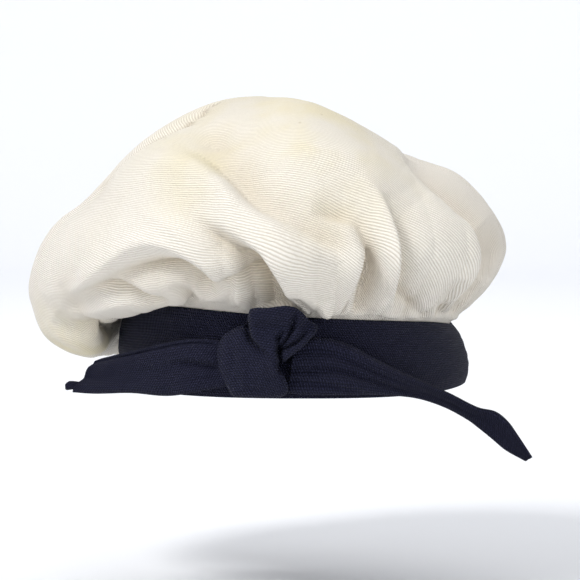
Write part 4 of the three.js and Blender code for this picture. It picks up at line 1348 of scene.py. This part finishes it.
@dataclass
class Tail:
    """One of the sash's ends: a doubled strip with its long edges turned behind it.

    Attributes:
        name: The CAD node that it replaces.
        path: Where its upper and lower edges run.
        folds: The folds along it.
        flat: Its width and length as cut, in metres. Not used.
        hem_at: Where its hem is sewn, across in half widths.
        rows: How many cells it has along its length.
        wall: Its thickness, in millimetres.
        noise: The bumps that its small unevenness is made of.
    """

    name: str
    path: Table
    folds: tuple[Fold, ...]
    flat: tuple[float, float]
    hem_at: float = 0.72
    rows: int = 150
    wall: float = 1.0
    noise: Noise = field(default_factory=lambda: Noise(41))

    def frames(self) -> tuple[Array, Array, Array, Array]:
        """The strip's middle line, its half widths, the way that faces behind, and how thick it is folded."""
        share = np.linspace(0, 1, self.rows + 1)
        at = {name: self.path.at(name, share) for name in self.path.columns}
        fold = at["fold"] * TAIL_FOLD
        sash = np.minimum(sash_face(at["low_x"]), sash_face(0.0) * at["back"])
        face = sash - fold - SIZES.clearance
        high = np.stack([at["top_x"], face, at["top_z"]], axis=-1)
        low = np.stack([at["low_x"], face, at["low_z"]], axis=-1)
        middle, half = (high + low) / 2, (high - low) / 2
        ahead = np.gradient(middle, axis=0)
        side = np.sign(middle[-1, 0] - middle[0, 0])
        behind = unit(np.cross(ahead, half)) * -side
        return middle, half, behind, fold

    def relief(self, share: Array, across: Array, points: Array, half: Array) -> Array:
        """How far its folds stand out of its face. None do where the knot covers them.

        Args:
            share: From 0 at the knot to 1 at its tip.
            across: From -1 at its lower edge to 1 at its upper one.
            points: The same places without the folds.
            half: Half its width in each row, in millimetres.

        Returns:
            Heights, in millimetres.
        """
        length = abs(points[-1, 0, 0] - points[0, 0, 0])
        height = np.zeros(share.size)
        typical = float(np.median(half))
        for fold in self.folds:
            height += fold.shape(share.ravel() * length, across.ravel() * typical, length, typical)[0]
        height = height.reshape(share.shape) * np.clip(half / typical, 0.3, 1)[:, None]
        height += self.noise.at(share * length / 13, across * 1.6) * 0.35
        middle_x, middle_z = Knot.middle()
        dx, dz = points[..., 0] - middle_x, points[..., 2] - middle_z
        reach = KNOT_OUTLINE.at("reach", np.degrees(np.arctan2(dz, dx)))
        return height * smooth(np.hypot(dx, dz) / reach, 0.94, 1.16)

    def build(self, material: bpy.types.Material) -> None:
        """Makes the tail and dresses it."""
        middle, half, behind, fold = self.frames()
        width = np.linalg.norm(half, axis=-1)
        section = centripetal(np.array(TAIL_SECTION, float), 8)
        across, share = np.meshgrid(section[:, 0], np.linspace(0, 1, self.rows + 1))
        rough = middle[:, None] + half[:, None] * across[..., None]
        shown = 1 - smooth(section[:, 1], 0.2, 0.5)
        raised = self.relief(share, across, rough, width) * shown
        flat_y = section[:, 1][None] * fold[:, None] - raised
        face = np.stack([across * width[:, None], flat_y], axis=-1)
        along = unit(np.gradient(face, axis=1))
        wall = np.minimum(self.wall, width / 2)[:, None]
        lining = np.stack([face[..., 0] - along[..., 1] * wall, face[..., 1] + along[..., 0] * wall], axis=-1)
        loop = np.concatenate([face, lining[:, ::-1]], axis=1)
        points = middle[:, None] + unit(half)[:, None] * loop[..., :1] + behind[:, None] * loop[..., 1:]
        mesh = ClothMesh()
        index = mesh.add_points(points)
        run = np.concatenate([[0], np.cumsum(np.linalg.norm(np.diff(middle, axis=0), axis=1))])
        typical = loop[self.rows // 3]
        wound = np.cumsum(np.linalg.norm(np.diff(typical, axis=0, prepend=typical[:1]), axis=1))
        uv = np.stack(np.meshgrid(run, wound, indexing="ij"), axis=-1) / UV_UNIT
        ring = np.concatenate([index, index[:, :1]], axis=1)
        ring_uv = np.concatenate([uv, uv[:, :1]], axis=1)
        turned = middle[-1, 0] > middle[0, 0]
        mesh.add_grid(ring, ring_uv, turned=turned)
        count = face.shape[1]
        for end, flip in ((0, not turned), (-1, turned)):
            sides = np.stack([index[end, :count], index[end, count:][::-1]])
            end_uv = np.stack([uv[end, :count]] * 2)
            mesh.add_grid(sides, end_uv, turned=flip)
        self.finish_end(mesh, middle, half, behind)
        obj = dress(mesh.build(f"{self.name}_cloth"), material, "sash_cloth", self.name)
        hem = np.argmin(np.hypot(section[:, 0] - self.hem_at, section[:, 1]))
        sewn = slice(self.rows // 7, self.rows - 2)
        line = points[sewn, hem] - behind[sewn] * 0.1
        stitches = dress(Stitches(f"{self.name}_stitches").build([line], material), material, "sash_cloth")

    def finish_end(self, mesh: ClothMesh, middle: Array, half: Array, behind: Array) -> None:
        """Adds nothing: a plain cut end."""


# The nub at a rolled tail's lower corner: how far out and up each ring lies, and its size
ROLLED_CORNER = (
    (5.5, 3.0, 0.3), (5.2, 3.0, 1.7), (2.5, 3.3, 2.1), (0, 3.6, 2.1),
    (-1.6, 3.5, 2.2), (-2.9, 3.0, 1.9), (-3.5, 2.8, 1.3), (-3.8, 2.7, 0.4),
)


class RolledTail(Tail):
    """A tail whose lower corner is rolled up into a small nub."""

    def finish_end(self, mesh: ClothMesh, middle: Array, half: Array, behind: Array) -> None:
        """Adds the rolled corner at the tip.

        Args:
            mesh: The mesh so far.
            middle: The strip's middle line.
            half: Its half widths.
            behind: The way that faces behind.
        """
        low = middle[-1] - half[-1]
        turns = np.linspace(0, math.tau, 25)[:-1]
        sections = []
        for out, up, size in ROLLED_CORNER:
            centre = low + np.array([out, 0, up]) + behind[-1] * 1.6
            ring = np.stack([np.sin(turns * 2) / 4, np.cos(turns) * 0.7, np.sin(turns)], axis=-1)
            sections.append(centre + ring * size)
        points = np.stack(sections)
        index = mesh.add_points(points)
        index[0], index[-1] = index[0, 0], index[-1, 0]
        ring = np.concatenate([index, index[:, :1]], axis=1)
        uv = np.moveaxis(np.indices(ring.shape), 0, -1)
        mesh.add_grid(ring, uv / UV_UNIT)


# Finishes


class Nodes:
    """Builds a node tree one node at a time."""

    def __init__(self, tree: bpy.types.NodeTree) -> None:
        """Works on one tree."""
        self.tree = tree

    def add(self, kind: str, inputs: dict[str | int, object] | None = None,
            **settings: object) -> bpy.types.Node:
        """Adds a node.

        Args:
            kind: Its type.
            inputs: A value, or an output socket to join, for each input by name or number.
            settings: Its own properties.

        Returns:
            The node.
        """
        node = self.tree.nodes.new(kind)
        for key, value in settings.items():
            setattr(node, key, value)
        for key, value in (inputs or {}).items():
            if isinstance(value, bpy.types.NodeSocket):
                self.tree.links.new(value, node.inputs[key])
            else:
                node.inputs[key].default_value = value
        return node

    def scale(self, vector: object, by: object) -> bpy.types.NodeSocket:
        """A vector made longer."""
        return self.add("ShaderNodeVectorMath", {0: vector, 3: by}, operation="SCALE").outputs[0]

    def math(self, operation: str, a: object, b: object = 0.0, clamp: bool = False) -> bpy.types.NodeSocket:
        """A sum of two values, or another operation on them."""
        return self.add("ShaderNodeMath", {0: a, 1: b}, operation=operation, use_clamp=clamp).outputs[0]

    def mix(self, share: object, a: object, b: object, blend: str = "MIX") -> bpy.types.NodeSocket:
        """A blend of two colours."""
        node = self.add("ShaderNodeMix", data_type="RGBA", blend_type=blend, clamp_factor=True)
        for socket, value in ((node.inputs[0], share), (node.inputs[6], a), (node.inputs[7], b)):
            if isinstance(value, bpy.types.NodeSocket):
                self.tree.links.new(value, socket)
            else:
                socket.default_value = value
        return node.outputs[2]

    def ramp(self, value: object, low: float, high: float, to_low: float = 0,
             to_high: float = 1) -> bpy.types.NodeSocket:
        """Maps a range onto another, with soft ends."""
        node = self.add("ShaderNodeMapRange", {0: value, 1: low, 2: high, 3: to_low, 4: to_high})
        node.interpolation_type = "SMOOTHSTEP"
        return node.outputs[0]

    def noise(self, vector: object, scale: object, detail: float = 2.0,
              rough: float = 0.5) -> bpy.types.NodeSocket:
        """A noise value."""
        inputs = {"Vector": vector, "Scale": scale, "Detail": detail, "Roughness": rough}
        return self.add("ShaderNodeTexNoise", inputs).outputs["Fac"]


VECTOR, FLOAT, GEOMETRY = "NodeSocketVector", "NodeSocketFloat", "NodeSocketGeometry"
Group = tuple[bpy.types.NodeTree, Nodes, bpy.types.Node, bpy.types.Node]


def group(name: str, inputs: Sequence[tuple[str, str, object]], outputs: Sequence[tuple[str, str]]) -> Group:
    """Starts a shader node group.

    Args:
        name: Its name.
        inputs: The name, socket type and first value of each input.
        outputs: The name and socket type of each output.

    Returns:
        The group, its builder, and its input and output nodes.
    """
    tree = bpy.data.node_groups.new(name, "ShaderNodeTree")
    for label, kind, value in inputs:
        socket = tree.interface.new_socket(name=label, in_out="INPUT", socket_type=kind)
        if value is not None:
            socket.default_value = value
    for label, kind in outputs:
        tree.interface.new_socket(name=label, in_out="OUTPUT", socket_type=kind)
    nodes = Nodes(tree)
    return tree, nodes, nodes.add("NodeGroupInput"), nodes.add("NodeGroupOutput")


def ribs_group() -> bpy.types.NodeTree:
    """Raised ribs across a cloth, with the yarn's unevenness and the fine threads between them."""
    tree, n, given, out = group(
        "cloth_ribs",
        [("Place", VECTOR, None), ("Pitch", FLOAT, 1.4), ("Slub", FLOAT, 0.3), ("Cross", FLOAT, 0.3),
         ("Thread", FLOAT, 0.42)],
        [("Height", FLOAT), ("Groove", FLOAT), ("Yarn", FLOAT)],
    )
    place = n.scale(given.outputs["Place"], UV_UNIT)
    parts = n.add("ShaderNodeSeparateXYZ", {0: place})
    wander = n.math("MULTIPLY", n.math("SUBTRACT", n.noise(place, 0.12, 2.0), 0.5), 0.5)
    across = n.math("DIVIDE", n.math("ADD", parts.outputs[1], wander), given.outputs["Pitch"])
    wave = n.math("COSINE", n.math("MULTIPLY", across, math.tau))
    rib = n.math("ADD", n.math("MULTIPLY", wave, 0.5), 0.5)
    shorter = n.math("MULTIPLY", parts.outputs[0], 0.35)
    stretched = n.add("ShaderNodeCombineXYZ", {0: shorter, 1: parts.outputs[1]})
    slub = n.math("SUBTRACT", n.noise(stretched.outputs[0], 1.3, 3.0), 0.5)
    thread = n.math("MULTIPLY", given.outputs["Pitch"], given.outputs["Thread"])
    along = n.math("DIVIDE", parts.outputs[0], thread)
    slanted = n.math("ADD", along, n.math("MULTIPLY", across, 0.5))
    cross = n.math("COSINE", n.math("MULTIPLY", slanted, math.tau))
    fine = n.math("MULTIPLY", n.math("MULTIPLY", cross, 0.5), given.outputs["Cross"])
    height = n.math("ADD", n.math("POWER", rib, 0.8), n.math("MULTIPLY", slub, given.outputs["Slub"]))
    height = n.math("ADD", height, fine)
    n.tree.links.new(height, out.inputs["Height"])
    n.tree.links.new(n.math("POWER", n.math("SUBTRACT", 1.0, rib), 2.0), out.inputs["Groove"])
    n.tree.links.new(slub, out.inputs["Yarn"])
    return tree


def mottle_group() -> bpy.types.NodeTree:
    """Uneven colour on cloth: broad clouds, small flecks and a few old spots."""
    tree, n, given, out = group(
        "cloth_mottle",
        [("Place", VECTOR, None), ("Cloud size", FLOAT, 60.0), ("Spots", FLOAT, 0.5)],
        [("Cloud", FLOAT), ("Fleck", FLOAT), ("Spot", FLOAT)],
    )
    place = n.scale(given.outputs["Place"], 1 / MM)
    clouds = n.noise(place, n.math("DIVIDE", 1.0, given.outputs["Cloud size"]), 3.0, 0.55)
    n.tree.links.new(n.ramp(clouds, 0.35, 0.68), out.inputs["Cloud"])
    n.tree.links.new(n.noise(place, 0.9, 3.0, 0.6), out.inputs["Fleck"])
    cells = n.add("ShaderNodeTexVoronoi", {"Vector": place, "Scale": 0.045, "Randomness": 1.0})
    spot = n.ramp(cells.outputs["Distance"], 0.0, 0.055, 1, 0)
    n.tree.links.new(n.math("MULTIPLY", spot, given.outputs["Spots"]), out.inputs["Spot"])
    return tree


@dataclass(frozen=True)
class ClothFinish:
    """What both cloths share: woven ribs, uneven colour and a matt surface.

    Attributes:
        name: The material's name.
        pitch: From one rib to the next, in millimetres.
        slub: How uneven the yarn is.
        cross: How much the threads between the ribs show.
        thread: From one of those threads to the next, in pitches.
        cloud: How broad the clouds of colour are, in millimetres.
        spots: How strong the old spots are.
        roughness: How matt the surface is.
        specular: How bright its highlights are.
        sheen: How much its fibres catch the light at its edges.
        sheen_roughness: How softly they do.
        bump: How strongly the ribs show in the light.
        depth: How deep the ribs are, in metres.
    """

    name: str
    pitch: float
    slub: float
    cross: float
    thread: float
    cloud: float
    spots: float
    roughness: float
    specular: float
    sheen: float
    sheen_roughness: float
    bump: float
    depth: float

    def build(self, ribs: bpy.types.NodeTree, mottle: bpy.types.NodeTree) -> bpy.types.Material:
        """Makes the material.

        Args:
            ribs: The group that draws the ribs.
            mottle: The group that makes the colour uneven.

        Returns:
            The material.
        """
        material = bpy.data.materials.new(self.name)
        material.use_nodes = True
        n = Nodes(material.node_tree)
        cloth = n.add("ShaderNodeUVMap", uv_map=CLOTH_UV).outputs[0]
        where = n.add("ShaderNodeTexCoord").outputs["Object"]
        woven = {"Pitch": self.pitch, "Slub": self.slub, "Cross": self.cross, "Thread": self.thread}
        weave = n.add("ShaderNodeGroup", {"Place": cloth, **woven}, node_tree=ribs)
        aged = {"Cloud size": self.cloud, "Spots": self.spots}
        age = n.add("ShaderNodeGroup", {"Place": where, **aged}, node_tree=mottle)
        shader = material.node_tree.nodes["Principled BSDF"]
        n.tree.links.new(self.colour(n, where, weave, age), shader.inputs["Base Color"])
        shader.inputs["Roughness"].default_value = self.roughness
        shader.inputs["Specular IOR Level"].default_value = self.specular
        shader.inputs["Sheen Weight"].default_value = self.sheen
        shader.inputs["Sheen Roughness"].default_value = self.sheen_roughness
        relief = {"Height": weave.outputs["Height"], "Strength": self.bump, "Distance": self.depth}
        n.tree.links.new(n.add("ShaderNodeBump", relief).outputs[0], shader.inputs["Normal"])
        return material

    def colour(self, n: Nodes, where: bpy.types.NodeSocket, weave: bpy.types.Node,
               age: bpy.types.Node) -> bpy.types.NodeSocket:
        """The cloth's colour.

        Args:
            n: The material's nodes.
            where: Places in the frame.
            weave: The ribs.
            age: The unevenness.

        Returns:
            The colour's socket.
        """
        raise NotImplementedError


@dataclass(frozen=True)
class TwillFinish(ClothFinish):
    """The crown's cream twill, yellower with age towards the top, and warmer under the lower-left lip by
    painted bounce light.

    Attributes:
        cream: Its own colour.
        age_and_bounce_yellow: Its colour where it has aged, and of the painted warm bounce light under the
            lower-left lip.
        fold_shade_and_dirt: Its colour deep in the folds, painted shade with some dirt.
        groove_shade: Its colour between the ribs, painted shade, and at a seam, painted shade and dirt.
        spot: The colour of the old spots.
        age_and_bounce_places: The middle and the reach of each yellow place, in metres: the last is painted
            warm bounce light under the lower-left lip, the others are age.
        aged: How yellow those are, the painted bounce light too.
        aged_all_over: How yellow the rest is.
        fold_shade_and_dirt_share: How much the folds are tinted with that painted shade and dirt.
        groove_shade_share: How much the grooves are tinted with that painted shade.
        seam_share: How much the seams are tinted, with painted shade and dirt.
    """

    cream: Colour = (0.83, 0.795, 0.73, 1)
    age_and_bounce_yellow: Colour = (0.8, 0.73, 0.52, 1)
    fold_shade_and_dirt: Colour = (0.7, 0.6, 0.44, 1)
    groove_shade: Colour = (0.5, 0.43, 0.34, 1)
    spot: Colour = (0.45, 0.36, 0.2, 1)
    age_and_bounce_places: tuple[Colour, ...] = (
        (-0.006, -0.07, 0.128, 0.09),
        (-0.03, -0.08, 0.108, 0.05),
        # Painted warm bounce light under the lower-left lip
        (-0.105, -0.03, 0.018, 0.045),
    )
    aged: float = 0.85
    aged_all_over: float = 0.07
    fold_shade_and_dirt_share: float = 0.4
    groove_shade_share: float = 0.62
    seam_share: float = 0.6

    def colour(self, n: Nodes, where: bpy.types.NodeSocket, weave: bpy.types.Node,
               age: bpy.types.Node) -> bpy.types.NodeSocket:
        """Cream, with yellow places of age and one of painted warm bounce light, painted shade with some dirt
        deep in the folds, painted shade between the ribs, a darker line of painted shade and dirt at the
        seams, and a few spots.
        """
        high: object = 0.0
        # The yellow, named old below, is age at two places and painted warm bounce light under the lower-left
        # lip.
        for *centre, reach in self.age_and_bounce_places:
            away = n.add("ShaderNodeVectorMath", {0: where, 1: centre}, operation="DISTANCE").outputs["Value"]
            high = n.math("MAXIMUM", n.ramp(away, reach, reach * 0.2), high)
        old = n.math("ADD", n.math("MULTIPLY", high, self.aged), self.aged_all_over)
        old = n.math("MULTIPLY", old, n.math("ADD", 0.25, age.outputs["Cloud"]))
        colour = n.mix(old, self.cream, self.age_and_bounce_yellow)
        fold_shade_and_dirt, seam = (n.add("ShaderNodeAttribute", attribute_name=name).outputs["Fac"] for name in MASKS)
        for mask, share, tint in (
            # Painted shade, with some dirt, deep in the folds
            (fold_shade_and_dirt, self.fold_shade_and_dirt_share, self.fold_shade_and_dirt),
            # Painted shade between the ribs
            (weave.outputs["Groove"], self.groove_shade_share, self.groove_shade),
            # A darker line at the seams: painted shade and dirt
            (seam, self.seam_share, self.groove_shade),
        ):
            colour = n.mix(n.math("MULTIPLY", mask, share), colour, tint)
        shade = n.math("ADD", 0.94, n.math("MULTIPLY", age.outputs["Fleck"], 0.12))
        grey = n.add("ShaderNodeCombineColor", {0: shade, 1: shade, 2: shade}).outputs[0]
        colour = n.mix(1.0, colour, grey, "MULTIPLY")
        return n.mix(age.outputs["Spot"], colour, self.spot)


@dataclass(frozen=True)
class SashFinish(ClothFinish):
    """The sash's matt navy crepe.

    Attributes:
        navy: Its colour in the grooves.
        raised: Its colour on the threads that stand out: a painted highlight.
        threads: How much the threads' height shows in the colour, as that painted highlight.
        flecks: How much the flecks do.
    """

    navy: Colour = (0.004, 0.0045, 0.012, 1)
    raised: Colour = (0.019, 0.02, 0.046, 1)
    threads: float = 0.72
    flecks: float = 0.25

    def colour(self, n: Nodes, where: bpy.types.NodeSocket, weave: bpy.types.Node,
               age: bpy.types.Node) -> bpy.types.NodeSocket:
        """Navy, a little paler on the threads that stand out: a painted highlight."""
        # Painted highlight: the threads that stand out are paler.
        lit = n.math("MULTIPLY", n.ramp(weave.outputs["Height"], 0.2, 1.5), self.threads)
        lit = n.math("ADD", lit, n.math("MULTIPLY", age.outputs["Fleck"], self.flecks), clamp=True)
        return n.mix(lit, self.navy, self.raised)


TWILL = TwillFinish(
    "crown_twill", pitch=0.88, slub=0.3, cross=0.2, thread=0.42, cloud=45.0, spots=0.5,
    roughness=0.9, specular=0.2, sheen=0.06, sheen_roughness=0.5, bump=0.7, depth=0.0005,
)
NAVY = SashFinish(
    "sash_cloth", pitch=1.25, slub=0.9, cross=1.2, thread=1.1, cloud=30.0, spots=0.0,
    roughness=0.75, specular=0.12, sheen=0.02, sheen_roughness=0.4, bump=0.9, depth=0.0004,
)


# The studio


@dataclass(frozen=True)
class Studio:
    """A pale floor that curves up into a backdrop, soft light, and the photograph's camera.

    Attributes:
        floor_z: The floor's height, in metres.
        level: How far out the floor is level.
        bend: The radius of the curve that joins it to the backdrop.
        height: The backdrop's height.
        centre: Where the camera and the lamps look.
        elevation: The camera's angle above level, in degrees.
        distance: How far away the camera is.
        lens: The camera's focal length, in millimetres.
    """

    floor_z: float = -0.1
    level: float = 2.4
    bend: float = 0.5
    height: float = 1.4
    centre: tuple[float, float, float] = (-0.002024, 0.003353, 0.04795)
    elevation: float = 4.0
    distance: float = 1.5
    lens: float = 184.0

    def build(self) -> None:
        """Makes the stage, the lights, the sky and the camera."""
        bpy.context.scene.view_settings.view_transform = "Standard"
        self._sweep()
        self._camera()
        self._light("key", (-0.8, -0.85, 1.3), 0.4, 19.0)
        self._light("fill", (1.2, -1.3, 0.6), 1.0, 8.0)
        self._light("low", (-0.9, -1.3, 0.1), 0.8, 3.5)
        self._light("top", (0.1, 0.6, 1.5), 1.2, 5.0)
        self._light("backdrop", (0.0, 1.2, 1.8), 1.4, 22.0, aim=(0.0, 2.9, 0.2))
        world = bpy.data.worlds.new("studio")
        bpy.context.scene.world = world
        world.use_nodes = True
        sky = world.node_tree.nodes["Background"]
        sky.inputs[0].default_value = (0.93, 0.95, 1.0, 1)
        sky.inputs[1].default_value = 0.5

    def _sweep(self) -> None:
        """The floor and backdrop: one wide dish with a soft rim, the same from every side."""
        turn = np.linspace(0, math.pi / 2, 13)
        curve = zip(self.level + self.bend * np.sin(turn), self.bend - self.bend * np.cos(turn))
        line = [(0.6, 0.0), (1.5, 0.0), *curve, (self.level + self.bend, self.height)]
        count = 96
        turns = np.arange(count) * math.tau / count
        points = [(r * math.cos(a), r * math.sin(a), z + self.floor_z) for r, z in line for a in turns]
        faces = [tuple(range(count))]
        for ring in range(len(line) - 1):
            for i in range(count):
                here, ahead = ring * count + i, ring * count + (i + 1) % count
                faces.append((here, here + count, ahead + count, ahead))
        mesh = bpy.data.meshes.new("floor")
        mesh.from_pydata(points, [], faces)
        mesh.polygons.foreach_set("use_smooth", [True] * len(faces))
        floor = put("floor", mesh)
        material = bpy.data.materials.new("floor")
        material.use_nodes = True
        shader = material.node_tree.nodes["Principled BSDF"]
        shader.inputs["Base Color"].default_value = (0.86, 0.87, 0.89, 1)
        shader.inputs["Roughness"].default_value = 0.9
        mesh.materials.append(material)

    def _light(self, name: str, place: tuple[float, float, float], size: float, power: float,
               aim: tuple[float, float, float] | None = None) -> None:
        """A soft square lamp that looks at the cap, or at another place."""
        lamp = bpy.data.lights.new(name, "AREA")
        lamp.size, lamp.energy = size, power
        obj = put(name, lamp)
        obj.location = place
        obj.rotation_euler = (Vector(aim or self.centre) - Vector(place)).to_track_quat("-Z", "Y").to_euler()

    def _camera(self) -> None:
        """The camera where the photograph was taken from."""
        data = bpy.data.cameras.new("camera")
        data.lens, data.sensor_width = self.lens, 36.0
        camera = put("camera", data)
        angle = math.radians(self.elevation)
        away = Vector((0, -math.cos(angle), math.sin(angle))) * self.distance
        camera.location = Vector(self.centre) + away
        camera.rotation_euler = (-away).to_track_quat("-Z", "Y").to_euler()
        bpy.context.scene.camera = camera


def main() -> None:
    """Builds every piece of the cap, then the studio round it."""
    logging.basicConfig(level=logging.INFO, format="%(message)s")
    ribs, mottle = ribs_group(), mottle_group()
    twill, navy = (finish.build(ribs, mottle) for finish in (TWILL, NAVY))
    Crown().build(twill)
    SashBand().build(navy)
    Knot().build(navy)
    RolledTail("left_tail", LEFT_TAIL, LEFT_TAIL_FOLDS, (0.039, 0.088)).build(navy)
    Tail("right_tail", RIGHT_TAIL, RIGHT_TAIL_FOLDS, (0.028, 0.135)).build(navy)
    Studio().build()


if __name__ == "__main__":
    main()
